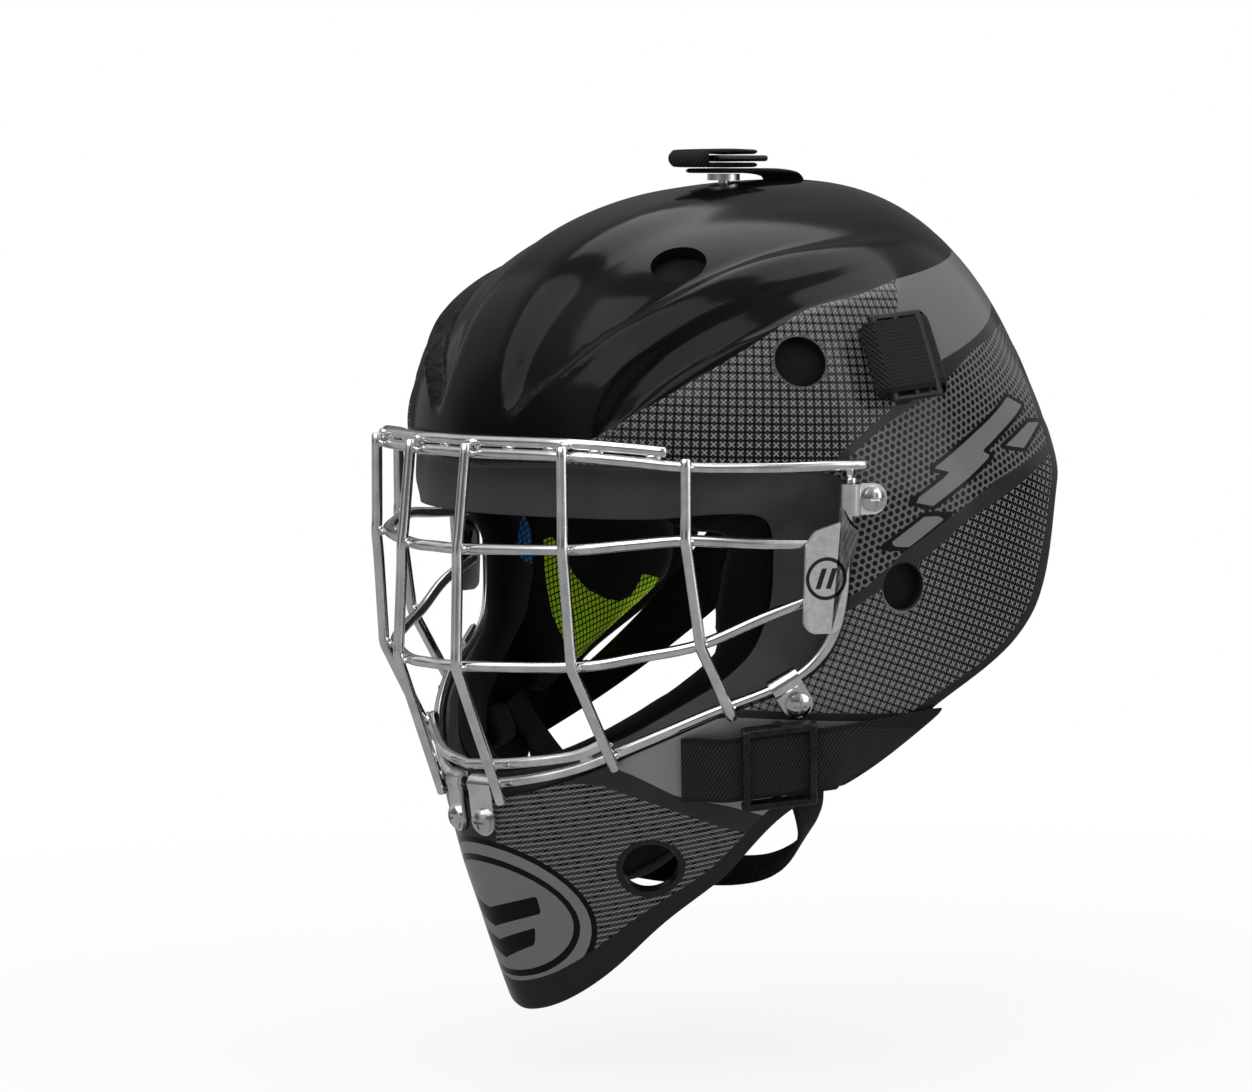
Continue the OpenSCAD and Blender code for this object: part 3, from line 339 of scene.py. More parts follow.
    def face(self, bearing: Array, rise: Array) -> Array:
        """Surface points at a bearing and an elevation."""
        return self.sight(direction(bearing, rise))

    def stand(self, bearing: Array, rise: Array, height: Array) -> Array:
        """Points a height off the surface at a bearing and an elevation."""
        p = self.face(bearing, rise)
        return p + self.out(p) * np.asarray(height, float)[..., None]

    def stands(self, rows: Sequence[Point]) -> Array:
        """Points off the surface from rows of bearing, elevation and height."""
        a = np.asarray(rows, float)
        return self.stand(a[:, 0], a[:, 1], a[:, 2])

    def relief(self, p: Array) -> Array:
        """How deep the crown's flutes go at p."""
        a = np.degrees(np.arctan2(p[..., 2] - self.eye[2], self.eye[1] - p[..., 1]))
        x = np.abs(p[..., 0])
        total = np.zeros(a.shape)
        for flute in self.flutes:
            x0, x1 = sweep_table(flute, 1, a), sweep_table(flute, 2, a)
            q = (x - x0) / np.maximum(x1 - x0, 1)
            deep = sweep_table(flute, 3, a)
            cut = deep * ease(q / 0.4) * (1 - ease((q - 0.95) / 0.09))
            lip = deep**0.5 * (0.16 * np.exp(-(((q - 1.08) / 0.07) ** 2)) + 0.05 * np.exp(-((q / 0.08) ** 2)))
            total += np.where((a > flute[0][0]) & (a < flute[-1][0]), self.flute_depth * (cut - lip), 0)
        return total

    def edge_direction(self, i: int, k: int) -> Array:
        """Direction of outline k's point i, mirrored past its ends."""
        n = len(self.edges) - 1
        if i < 0:
            return flipped(self.edge_direction(-i, k))
        if i > n:
            return flipped(self.edge_direction(2 * n - i, k))
        return direction(*self.edges[i][k])

    def rim(self, s: Array, k: int) -> Array:
        """Directions on outline k: 0 the opening, 1 the painted rim, 2 the outer edge.

        Args:
            s: from 0 at the brow to 1 at the chin.
            k: the outline.

        Returns:
            Unit vectors from the centre.
        """
        n = len(self.edges) - 1
        table = np.array([self.edge_direction(i, k) for i in range(-1, n + 3)])
        s = np.asarray(s, float)
        i = np.clip(np.floor(s * n).astype(int), 0, n - 1)
        t = (s * n - i)[..., None]
        return unit(spline(table[i], table[i + 1], table[i + 2], table[i + 3], t))


FORM = MaskForm()


@dataclass(frozen=True)
class PaintMap:
    """Outlines of the painted panels, each point a bearing in degrees and a height in mm."""

    radius: float = 108.0
    crown: tuple[Point, ...] = (
        (0, -8), (27, 15), (31.6, 20), (41.4, 31), (57, 49), (67, 60), (72.6, 64), (84.5, 68),
        (95.7, 73), (120, 79.5), (140, 84.5), (180, 90), (180, 140), (0, 140),
    )
    cross_panel: tuple[Point, ...] = (
        (24, 11), (31.6, 20), (41.4, 31), (57, 49), (67, 60), (72.6, 64), (84.5, 68), (95.7, 73),
        (92.4, 63), (89.2, 33.5), (79, 20.5), (74.2, 13.5), (72, 6), (24, 5),
    )
    rear_panel: tuple[Point, ...] = (
        (95.7, 73), (120, 79.5), (140, 84.5), (180, 90), (180, 72), (140, 66), (127.6, 60.5),
        (99.8, 45), (89.2, 33.5), (92.4, 63),
    )
    mesh_band: tuple[Point, ...] = (
        (76.3, 12.7), (83.2, 22.4), (98, 36.8), (109.5, 47.4), (126, 55), (150, 60), (150, 18),
        (128.4, 14.1), (107.8, 1.8), (86.5, -22.5), (79.2, -34), (70, -43), (66, 0),
    )
    side_panel: tuple[Point, ...] = (
        (60, -56), (75.7, -42.2), (90.6, -25.7), (101.2, -11.4), (127.1, 10.6), (140, 14), (140, -80),
        (94.9, -80.2), (71.9, -78.1), (55, -76),
    )
    strap_panel: tuple[Point, ...] = (
        (24, -86), (55, -79), (71.9, -81), (94.9, -83), (94.9, -135), (78, -124), (65.9, -117.5),
        (54.5, -111.9), (43.6, -108), (35.4, -100.4), (28, -95),
    )
    chin_panel: tuple[Point, ...] = (
        (7.5, -104), (28.7, -104.4), (32.7, -107.1), (53.9, -120.4), (61.5, -123.5), (53, -146),
        (39.6, -159.5), (26.5, -171.5), (16.5, -178), (2, -178),
    )
    shield: tuple[Point, ...] = tuple(
        (21.5 * math.cos(math.radians(t)), -156 + 27 * math.sin(math.radians(t))) for t in range(0, 360, 10)
    )
    shield_lines: tuple[tuple[Point, ...], ...] = (
        ((-12, -147), (0, -153), (12, -147), (12, -153.5), (0, -160), (-12, -153.5)),
        ((-10, -159), (0, -165), (10, -159), (9, -165.5), (0, -172), (-9, -165.5)),
    )
    flashes: tuple[tuple[Point, ...], ...] = (
        ((82.5, -20), (91, -9.5), (97, -9.5), (88, -20.5)),
        ((88, -4.5), (104.5, 14), (108, 10.5), (93, -6.5)),
        ((93, 7), (116.5, 31), (121.5, 27.5), (98.5, 4.5)),
        ((112, 13.5), (122, 21.5), (127, 21), (118, 12)),
    )

    def plane(self, p: Array) -> Array:
        """Points of the shell laid flat: distance round it from the front, and height, in mm."""
        a = np.arctan2(np.abs(p[:, 0]), -(p[:, 1] - FORM.eye[1]))
        return np.stack([a * self.radius, p[:, 2]], -1)

    def outline(self, corners: Sequence[Point]) -> list[tuple[float, float]]:
        """Corners of a panel laid flat, in mm."""
        return [(math.radians(a) * self.radius, z) for a, z in corners]

    def fields(self, p: Array) -> dict[str, Array]:
        """Signed distances to the panels.

        Args:
            p: points of the shell.

        Returns:
            For each panel a distance a point, above 0 inside.
        """
        flat = self.plane(p)

        def inside(corners: Sequence[Point]) -> Array:
            """Distance into one panel."""
            return distance_to_outline(flat, self.outline(corners))

        whole = ("crown", "cross_panel", "rear_panel", "mesh_band", "side_panel")
        whole += ("strap_panel", "chin_panel", "shield")
        found = {name: inside(getattr(self, name)) for name in whole}
        for name in ("shield_lines", "flashes"):
            found[name] = np.max([inside(c) for c in getattr(self, name)], axis=0)
        return found


# ---- node trees written as sums


class Term:
    """A value in a node tree, which ordinary operators turn into Math nodes."""

    def __init__(self, tree: bpy.types.NodeTree, source: bpy.types.NodeSocket | float) -> None:
        """Keeps the tree and the socket or number."""
        self.tree = tree
        self.source = source

    def math(self, operation: str, *others: "Term | float", clamp: bool = False) -> "Term":
        """One Math node of this value and others."""
        node = self.tree.nodes.new("ShaderNodeMath")
        node.operation = operation
        node.use_clamp = clamp
        for socket, value in zip(node.inputs, (self, *others)):
            source = value.source if isinstance(value, Term) else value
            if isinstance(source, (int, float)):
                socket.default_value = source
            else:
                self.tree.links.new(source, socket)
        return Term(self.tree, node.outputs[0])

    def __add__(self, other: "Term | float") -> "Term":
        """Sum."""
        return self.math("ADD", other)

    def __sub__(self, other: "Term | float") -> "Term":
        """Difference."""
        return self.math("SUBTRACT", other)

    def __mul__(self, other: "Term | float") -> "Term":
        """Product."""
        return self.math("MULTIPLY", other)

    def __truediv__(self, other: "Term | float") -> "Term":
        """Quotient."""
        return self.math("DIVIDE", other)

    def __abs__(self) -> "Term":
        """Size without sign."""
        return self.math("ABSOLUTE")

    def least(self, other: "Term | float") -> "Term":
        """The smaller of two."""
        return self.math("MINIMUM", other)

    def most(self, other: "Term | float") -> "Term":
        """The larger of two."""
        return self.math("MAXIMUM", other)

    def part(self) -> "Term":
        """What is left after the whole number."""
        return self.math("FRACT")

    def whole(self) -> "Term":
        """The whole number below."""
        return self.math("FLOOR")

    def above(self, edge: "Term | float") -> "Term":
        """1 over an edge and 0 under it."""
        return self.math("GREATER_THAN", edge)

    def below(self, edge: "Term | float") -> "Term":
        """1 under an edge and 0 over it."""
        return self.math("LESS_THAN", edge)

    def ramp(self, low: float, high: float) -> "Term":
        """0 at low to 1 at high, held past both."""
        return ((self - low) * (1 / (high - low))).math("ADD", 0.0, clamp=True)


@dataclass
class Recipe:
    """A node tree being written: a material's own, or a group's."""

    tree: bpy.types.NodeTree

    def node(self, kind: str, **values: object) -> bpy.types.Node:
        """A node of that kind, with the properties given."""
        made = self.tree.nodes.new(kind)
        for name, value in values.items():
            setattr(made, name, value)
        return made

    def link(self, source: bpy.types.NodeSocket, target: bpy.types.NodeSocket) -> None:
        """Joins two sockets."""
        self.tree.links.new(source, target)

    def term(self, source: bpy.types.NodeSocket | float) -> Term:
        """A socket or number to calculate with."""
        return Term(self.tree, source)

    def stored(self, name: str) -> bpy.types.Node:
        """The node that reads a value kept on the mesh."""
        return self.node("ShaderNodeAttribute", attribute_name=name)

    def split(self, vector: bpy.types.NodeSocket) -> tuple[Term, Term, Term]:
        """The three parts of a vector."""
        node = self.node("ShaderNodeSeparateXYZ")
        self.link(vector, node.inputs[0])
        return self.term(node.outputs[0]), self.term(node.outputs[1]), self.term(node.outputs[2])

    def vector(self, x: Term, y: Term, z: Term | float = 0.0) -> bpy.types.NodeSocket:
        """A vector from its parts."""
        node = self.node("ShaderNodeCombineXYZ")
        for socket, value in zip(node.inputs, (x, y, z)):
            if isinstance(value, Term):
                self.link(value.source, socket)
            else:
                socket.default_value = value
        return node.outputs[0]

    def noise(self, vector: bpy.types.NodeSocket, scale: float, detail: float = 2.0) -> Term:
        """Smooth noise at a vector."""
        node = self.node("ShaderNodeTexNoise")
        node.inputs["Scale"].default_value = scale
        node.inputs["Detail"].default_value = detail
        self.link(vector, node.inputs["Vector"])
        return self.term(node.outputs["Fac"])

    def object_mm(self) -> bpy.types.NodeSocket:
        """Object coordinates in mm."""
        place = self.node("ShaderNodeTexCoord")
        scale = self.node("ShaderNodeVectorMath", operation="SCALE")
        scale.inputs["Scale"].default_value = 1000.0
        self.link(place.outputs["Object"], scale.inputs[0])
        return scale.outputs[0]

    def blend(self, share: Term, low: object, high: object) -> bpy.types.NodeSocket:
        """A colour between two, each a socket or three numbers."""
        node = self.node("ShaderNodeMix", data_type="RGBA")
        self.link(share.source, node.inputs["Factor"])
        for index, value in ((6, low), (7, high)):
            if isinstance(value, bpy.types.NodeSocket):
                self.link(value, node.inputs[index])
            else:
                node.inputs[index].default_value = (*value, 1.0)
        return node.outputs[2]


def shade(value: float) -> tuple[float, float, float]:
    """A neutral colour from the 0 to 255 tone that it shows."""
    v = value / 255
    v = v / 12.92 if v <= 0.04045 else ((v + 0.055) / 1.055) ** 2.4
    return v, v, v


def tone(red: float, green: float, blue: float) -> tuple[float, float, float]:
    """A colour from its 0 to 255 tones."""
    return shade(red)[0], shade(green)[0], shade(blue)[0]


SHELL_BLUE = tone(0, 104, 168)
PRINT_BLUE = tone(0, 132, 205)
PRINT_LIME = tone(205, 255, 45)


# ---- shared shader groups


class GroupKind(Enum):
    """The effects that several finishes share."""

    WEAR = "edge_wear"
    GRAIN = "fine_grain"
    WEAVE = "diagonal_weave"
    CROSSES = "cross_print"
    HONEYCOMB = "honeycomb_print"
    ZIGZAG = "zigzag_print"


class ShaderLibrary:
    """Builds each shared group once and puts it into materials."""

    def __init__(self) -> None:
        """Starts with no group built."""
        self._groups: dict[GroupKind, bpy.types.NodeTree] = {}
        self._writers: dict[GroupKind, Callable[[], bpy.types.NodeTree]] = {
            GroupKind.WEAR: self._wear,
            GroupKind.GRAIN: self._grain,
            GroupKind.WEAVE: self._weave,
            GroupKind.CROSSES: self._crosses,
            GroupKind.HONEYCOMB: self._honeycomb,
            GroupKind.ZIGZAG: self._zigzag,
        }

    def add(self, recipe: Recipe, kind: GroupKind, **values: object) -> bpy.types.Node:
        """Places a group in a material's tree.

        Args:
            recipe: the material being written.
            kind: which group.
            values: numbers, sockets or terms for its inputs.

        Returns:
            The group's node.
        """
        if kind not in self._groups:
            self._groups[kind] = self._writers[kind]()
        node = recipe.node("ShaderNodeGroup", node_tree=self._groups[kind])
        for name, value in values.items():
            socket = node.inputs[name.replace("_", " ")]
            if isinstance(value, Term):
                value = value.source
            if isinstance(value, bpy.types.NodeSocket):
                recipe.link(value, socket)
            else:
                socket.default_value = value
        return node

    @staticmethod
    def _open(
        kind: GroupKind, inputs: Sequence[tuple[str, str, float]], outputs: Sequence[tuple[str, str]]
    ) -> tuple:
        """A new group with its sockets: the recipe, the input node and the output node."""
        tree = bpy.data.node_groups.new(kind.value, "ShaderNodeTree")
        for name, socket, default in inputs:
            made = tree.interface.new_socket(name, in_out="INPUT", socket_type=socket)
            if socket == "NodeSocketFloat":
                made.default_value = default
        for name, socket in outputs:
            tree.interface.new_socket(name, in_out="OUTPUT", socket_type=socket)
        recipe = Recipe(tree)
        return recipe, recipe.node("NodeGroupInput"), recipe.node("NodeGroupOutput")

    def _wear(self) -> bpy.types.NodeTree:
        """Worn share along edges, broken up by noise."""
        recipe, given, result = self._open(
            GroupKind.WEAR,
            [("Amount", "NodeSocketFloat", 0.5), ("Scale", "NodeSocketFloat", 0.4)],
            [("Mask", "NodeSocketFloat")],
        )
        geometry = recipe.node("ShaderNodeNewGeometry")
        edge = recipe.term(geometry.outputs["Pointiness"]).ramp(0.505, 0.56)
        place = recipe.object_mm()
        noise = recipe.node("ShaderNodeTexNoise")
        noise.inputs["Detail"].default_value = 4
        recipe.link(place, noise.inputs["Vector"])
        recipe.link(given.outputs["Scale"], noise.inputs["Scale"])
        broken = recipe.term(noise.outputs["Fac"]).ramp(0.42, 0.62)
        mask = (edge * broken) * recipe.term(given.outputs["Amount"])
        recipe.link(mask.source, result.inputs["Mask"])
        return recipe.tree

    def _grain(self) -> bpy.types.NodeTree:
        """Fine moulded grain with slow changes of tone."""
        recipe, given, result = self._open(
            GroupKind.GRAIN,
            [("Scale", "NodeSocketFloat", 2.0), ("Depth", "NodeSocketFloat", 0.5)],
            [("Height", "NodeSocketFloat"), ("Tone", "NodeSocketFloat")],
        )
        place = recipe.object_mm()
        fine = recipe.node("ShaderNodeTexVoronoi")
        recipe.link(place, fine.inputs["Vector"])
        recipe.link(given.outputs["Scale"], fine.inputs["Scale"])
        height = recipe.term(fine.outputs["Distance"]) * recipe.term(given.outputs["Depth"])
        slow = recipe.noise(place, 0.06, 3.0)
        recipe.link(height.source, result.inputs["Height"])
        recipe.link(slow.source, result.inputs["Tone"])
        return recipe.tree

    def _weave(self) -> bpy.types.NodeTree:
        """Ribbed elastic: rows of short slanted stitches between lengthwise ribs."""
        recipe, given, result = self._open(
            GroupKind.WEAVE,
            [
                ("Place", "NodeSocketVector", 0.0),
                ("Pitch", "NodeSocketFloat", 1.6),
                ("Slant", "NodeSocketFloat", 0.6),
            ],
            [("Height", "NodeSocketFloat"), ("Light", "NodeSocketFloat")],
        )
        x, y, _ = recipe.split(given.outputs["Place"])
        pitch = recipe.term(given.outputs["Pitch"])
        rib = (y / pitch).part()
        row = (y / pitch).whole()
        slant = recipe.term(given.outputs["Slant"])
        stitch = (x / pitch + (rib + row) * slant).part()
        across = abs(rib - 0.5) * 2
        along = abs(stitch - 0.5) * 2
        body = (across.math("POWER", 3.0) * -0.45 + 1) * (along.math("POWER", 2.0) * -1 + 1)
        place = recipe.object_mm()
        fluff = recipe.noise(place, 3.0, 3.0)
        height = body * 0.8 + fluff * 0.35
        light = body.ramp(0.15, 0.9) * (fluff.ramp(0.3, 0.7) * 0.6 + 0.4)
        recipe.link(height.source, result.inputs["Height"])
        recipe.link(light.source, result.inputs["Light"])
        return recipe.tree

    @staticmethod
    def _print_inputs(pitch: float) -> list[tuple[str, str, float]]:
        """The sockets that every print takes: its place, its pitch and its angle."""
        number = "NodeSocketFloat"
        return [("Place", "NodeSocketVector", 0.0), ("Pitch", number, pitch), ("Angle", number, 0.0)]

    @staticmethod
    def _turned(recipe: Recipe, given: bpy.types.Node) -> tuple[Term, Term]:
        """The plane's coordinates in pitches, turned by an angle in radians."""
        x, y, _ = recipe.split(given.outputs["Place"])
        pitch, angle = (recipe.term(given.outputs[name]) for name in ("Pitch", "Angle"))
        c, s = angle.math("COSINE"), angle.math("SINE")
        return (x * c + y * s) / pitch, (y * c - x * s) / pitch

    def _crosses(self) -> bpy.types.NodeTree:
        """Print of light slanted crosses between dark upright ones."""
        recipe, given, result = self._open(
            GroupKind.CROSSES,
            self._print_inputs(2.9),
            [("Light", "NodeSocketFloat"), ("Dark", "NodeSocketFloat")],
        )
        u, v = self._turned(recipe, given)
        a, b = abs(u.part() - 0.5), abs(v.part() - 0.5)
        light = (abs(a - b)).below(0.11) * (a.most(b)).below(0.34)
        c, d = abs((u + 0.5).part() - 0.5), abs((v + 0.5).part() - 0.5)
        dark = (c.least(d)).below(0.08) * (c.most(d)).below(0.34)
        recipe.link(light.source, result.inputs["Light"])
        recipe.link(dark.source, result.inputs["Dark"])
        return recipe.tree

    def _honeycomb(self) -> bpy.types.NodeTree:
        """Print of dark cells in a light net."""
        recipe, given, result = self._open(
            GroupKind.HONEYCOMB,
            self._print_inputs(2.7),
            [("Cell", "NodeSocketFloat")],
        )
        u, v = self._turned(recipe, given)
        high = math.sqrt(3)

        def away(x: Term, y: Term) -> Term:
            """Six-sided distance from the nearest centre of one lattice."""
            a = abs(x.part() - 0.5)
            b = abs((y / high).part() - 0.5) * high
            return (a * 0.5 + b * 0.866).most(a)

        distance = away(u, v).least(away(u + 0.5, v + high / 2))
        recipe.link(distance.below(0.335).source, result.inputs["Cell"])
        return recipe.tree

    def _zigzag(self) -> bpy.types.NodeTree:
        """Print of light zigzag lines with dark cells between them."""
        recipe, given, result = self._open(
            GroupKind.ZIGZAG,
            self._print_inputs(2.9),
            [("Line", "NodeSocketFloat"), ("Cell", "NodeSocketFloat"), ("Chance", "NodeSocketFloat")],
        )
        u, v = self._turned(recipe, given)
        rows = v / 0.83
        near = (rows + 0.5).whole()
        wave = abs((u + near * 0.5).part() - 0.5) * 2 - 0.5
        line = abs(rows - near - wave * 0.34).below(0.11)
        row = rows.whole()
        shifted = u + row * 0.5 + 0.5
        a = abs(shifted.part() - 0.5)
        b = abs(rows.part() - 0.5)
        cell = (a * 0.9 + b * 0.55).most(a).below(0.4)
        pick = recipe.node("ShaderNodeTexWhiteNoise", noise_dimensions="2D")
        recipe.link(recipe.vector(shifted.whole(), row), pick.inputs["Vector"])
        recipe.link(line.source, result.inputs["Line"])
        recipe.link(cell.source, result.inputs["Cell"])
        recipe.link(pick.outputs["Value"], result.inputs["Chance"])
        return recipe.tree


LIBRARY = ShaderLibrary()


# ---- finishes


def new_material(name: str) -> tuple[bpy.types.Material, Recipe, bpy.types.Node]:
    """A material with its recipe and its Principled shader."""
    material = bpy.data.materials.new(name)
    material.use_nodes = True
    tree = material.node_tree
    return material, Recipe(tree), tree.nodes["Principled BSDF"]


def set_bump(
    recipe: Recipe, shader: bpy.types.Node, height: Term, distance_mm: float, strength: float = 1.0
) -> None:
    """Puts a height through a Bump node into the shader's normal."""
    bump = recipe.node("ShaderNodeBump")
    bump.inputs["Strength"].default_value = strength
    bump.inputs["Distance"].default_value = distance_mm * MM
    recipe.link(height.source, bump.inputs["Height"])
    recipe.link(bump.outputs["Normal"], shader.inputs["Normal"])


@dataclass(frozen=True)
class PolishedWire:
    """Chrome on wire and clips, with fine scratches and dull specks."""

    name: str = "polished_chrome"
    colour: tuple[float, float, float] = (0.90, 0.90, 0.91)
    low_roughness: float = 0.12
    high_roughness: float = 0.24
    bump_mm: float = 0.02

    def material(self) -> bpy.types.Material:
        """Builds the material."""
        made, recipe, shader = new_material(self.name)
        place = recipe.object_mm()
        slow = recipe.noise(place, 0.12, 4.0)
        fine = recipe.noise(place, 2.2, 3.0)
        shader.inputs["Metallic"].default_value = 1.0
        darker = tuple(c * 0.78 for c in self.colour)
        recipe.link(recipe.blend(slow.ramp(0.35, 0.7), self.colour, darker), shader.inputs["Base Color"])
        span = self.high_roughness - self.low_roughness
        rough = (slow * 0.5 + fine * 0.5).ramp(0.35, 0.7) * span + self.low_roughness
        recipe.link(rough.source, shader.inputs["Roughness"])
        set_bump(recipe, shader, fine, self.bump_mm, 0.35)
        return made


@dataclass(frozen=True)
class BrushedPlate:
    """Pale stamped metal, brushed along one direction, with a plain printed mark."""

    name: str = "stamped_plate"
    colour: tuple[float, float, float] = (0.66, 0.66, 0.67)
    mark: bool = False

    def material(self) -> bpy.types.Material:
        """Builds the material."""
        made, recipe, shader = new_material(self.name)
        x, y, z = recipe.split(recipe.object_mm())
        lines = recipe.noise(recipe.vector(x * 0.2, y * 0.2, z * 6.0), 1.0, 3.0)
        slow = recipe.noise(recipe.object_mm(), 0.08, 2.0)
        worn = LIBRARY.add(recipe, GroupKind.WEAR, Amount=0.6, Scale=0.5)
        darker = tuple(c * 0.72 for c in self.colour)
        base = recipe.blend((lines * 0.7 + slow * 0.5).ramp(0.35, 0.85), self.colour, darker)
        base = recipe.blend(recipe.term(worn.outputs["Mask"]), base, (0.9, 0.9, 0.9))
        if self.mark:
            along, across, _ = recipe.split(recipe.stored("face_at").outputs["Vector"])
            radius = ((along + 1.0) * (along + 1.0) + (across - 0.8) * (across - 0.8)).math("SQRT")
            ring = abs(radius - 6.9).below(0.65)
            slanted = abs(abs(across - 0.8 + (along + 1.0) * 0.3) - 1.9).below(0.95)
            bars = slanted * abs(along + 1.0).below(3.6)
            ink = ring.most(bars)
            base = recipe.blend(ink, base, shade(14))
            recipe.link((ink * -0.55 + 0.6).source, shader.inputs["Metallic"])
        else:
            shader.inputs["Metallic"].default_value = 0.6
        recipe.link(base, shader.inputs["Base Color"])
        recipe.link((lines * 0.18 + 0.32).source, shader.inputs["Roughness"])
        set_bump(recipe, shader, lines, 0.03, 0.4)
        return made


@dataclass(frozen=True)
class MouldedPlastic:
    """Plain dark plastic or rubber with a moulded grain and paler worn edges."""

    name: str
    tone_low: float = 18
    tone_high: float = 30
    roughness: float = 0.45
    grain: float = 1.4
    bump_mm: float = 0.04
    wear: float = 0.35
    specular: float = 0.35
    tab: tuple[float, float, float] | None = None

    def material(self) -> bpy.types.Material:
        """Builds the material."""
        made, recipe, shader = new_material(self.name)
        grain = LIBRARY.add(recipe, GroupKind.GRAIN, Scale=self.grain, Depth=1.0)
        worn = LIBRARY.add(recipe, GroupKind.WEAR, Amount=self.wear, Scale=0.35)
        changing = recipe.term(grain.outputs["Tone"]).ramp(0.3, 0.7)
        base = recipe.blend(changing, shade(self.tone_low), shade(self.tone_high))
        base = recipe.blend(recipe.term(worn.outputs["Mask"]), base, shade(self.tone_high + 34))
        if self.tab:
            base = recipe.blend(recipe.term(recipe.stored("tab").outputs["Fac"]).above(0.0), base, self.tab)
        recipe.link(base, shader.inputs["Base Color"])
        height = recipe.term(grain.outputs["Height"])
        recipe.link((changing * 0.12 + self.roughness).source, shader.inputs["Roughness"])
        shader.inputs["Specular IOR Level"].default_value = self.specular
        set_bump(recipe, shader, height, self.bump_mm, 0.5)
        return made


@dataclass(frozen=True)
class Webbing:
    """Woven strap: ribs and stitches that follow the strap, with a paler selvedge."""

    name: str
    pitch: float = 1.35
    slant: float = 0.55
    half_width: float = 13.0
    tone_low: float = 2
    tone_high: float = 54
    bump_mm: float = 0.3

    def material(self) -> bpy.types.Material:
        """Builds the material."""
        made, recipe, shader = new_material(self.name)
        run = recipe.stored("run").outputs["Vector"]
        weave = LIBRARY.add(recipe, GroupKind.WEAVE, Place=run, Pitch=self.pitch, Slant=self.slant)
        _, across, _ = recipe.split(run)
        border = abs(across).ramp(self.half_width - 1.9, self.half_width - 1.5)
        light = recipe.term(weave.outputs["Light"])
        base = recipe.blend(light, shade(self.tone_low), shade(self.tone_high))
        base = recipe.blend(border * 0.6, base, shade(self.tone_low + 12))
        recipe.link(base, shader.inputs["Base Color"])
        recipe.link((light * -0.15 + 0.92).source, shader.inputs["Roughness"])
        shader.inputs["Specular IOR Level"].default_value = 0.2
        shader.inputs["Sheen Weight"].default_value = 0.03
        shader.inputs["Sheen Roughness"].default_value = 0.5
        set_bump(recipe, shader, recipe.term(weave.outputs["Height"]), self.bump_mm, 0.9)
        return made


@dataclass(frozen=True)
class LinerCloth:
    """Knitted cover of a foam pad, with an optional printed grid in a second colour."""

    name: str
    tone_low: float = 10
    tone_high: float = 24
    knit: float = 0.9
    bump_mm: float = 0.18
    print_colour: tuple[float, float, float] | None = None

    def material(self) -> bpy.types.Material:
        """Builds the material."""
        made, recipe, shader = new_material(self.name)
        run = recipe.stored("run").outputs["Vector"]
        weave = LIBRARY.add(recipe, GroupKind.WEAVE, Place=run, Pitch=self.knit, Slant=0.5)
        place = recipe.object_mm()
        slow = recipe.noise(place, 0.05, 3.0).ramp(0.3, 0.7)
        base = recipe.blend(slow, shade(self.tone_low), shade(self.tone_high))
        base = recipe.blend(recipe.term(weave.outputs["Light"]) * 0.35, base, shade(self.tone_high + 22))
        if self.print_colour:
            x, y, _ = recipe.split(run)
            column, line = abs((x / 2.1).part() - 0.5), abs((y / 2.3).part() - 0.5)
            inside = recipe.term(recipe.stored("print_zone").outputs["Fac"])
            fleck = recipe.noise(run, 0.8, 2.0).ramp(0.3, 0.45)
            mask = column.below(0.37) * line.below(0.38) * inside.above(0.0) * (fleck * 0.3 + 0.7)
            base = recipe.blend(mask, base, self.print_colour)
        recipe.link(base, shader.inputs["Base Color"])
        shader.inputs["Roughness"].default_value = 0.95
        shader.inputs["Specular IOR Level"].default_value = 0.12
        shader.inputs["Sheen Weight"].default_value = 0.06
        set_bump(recipe, shader, recipe.term(weave.outputs["Height"]), self.bump_mm, 0.8)
        return made


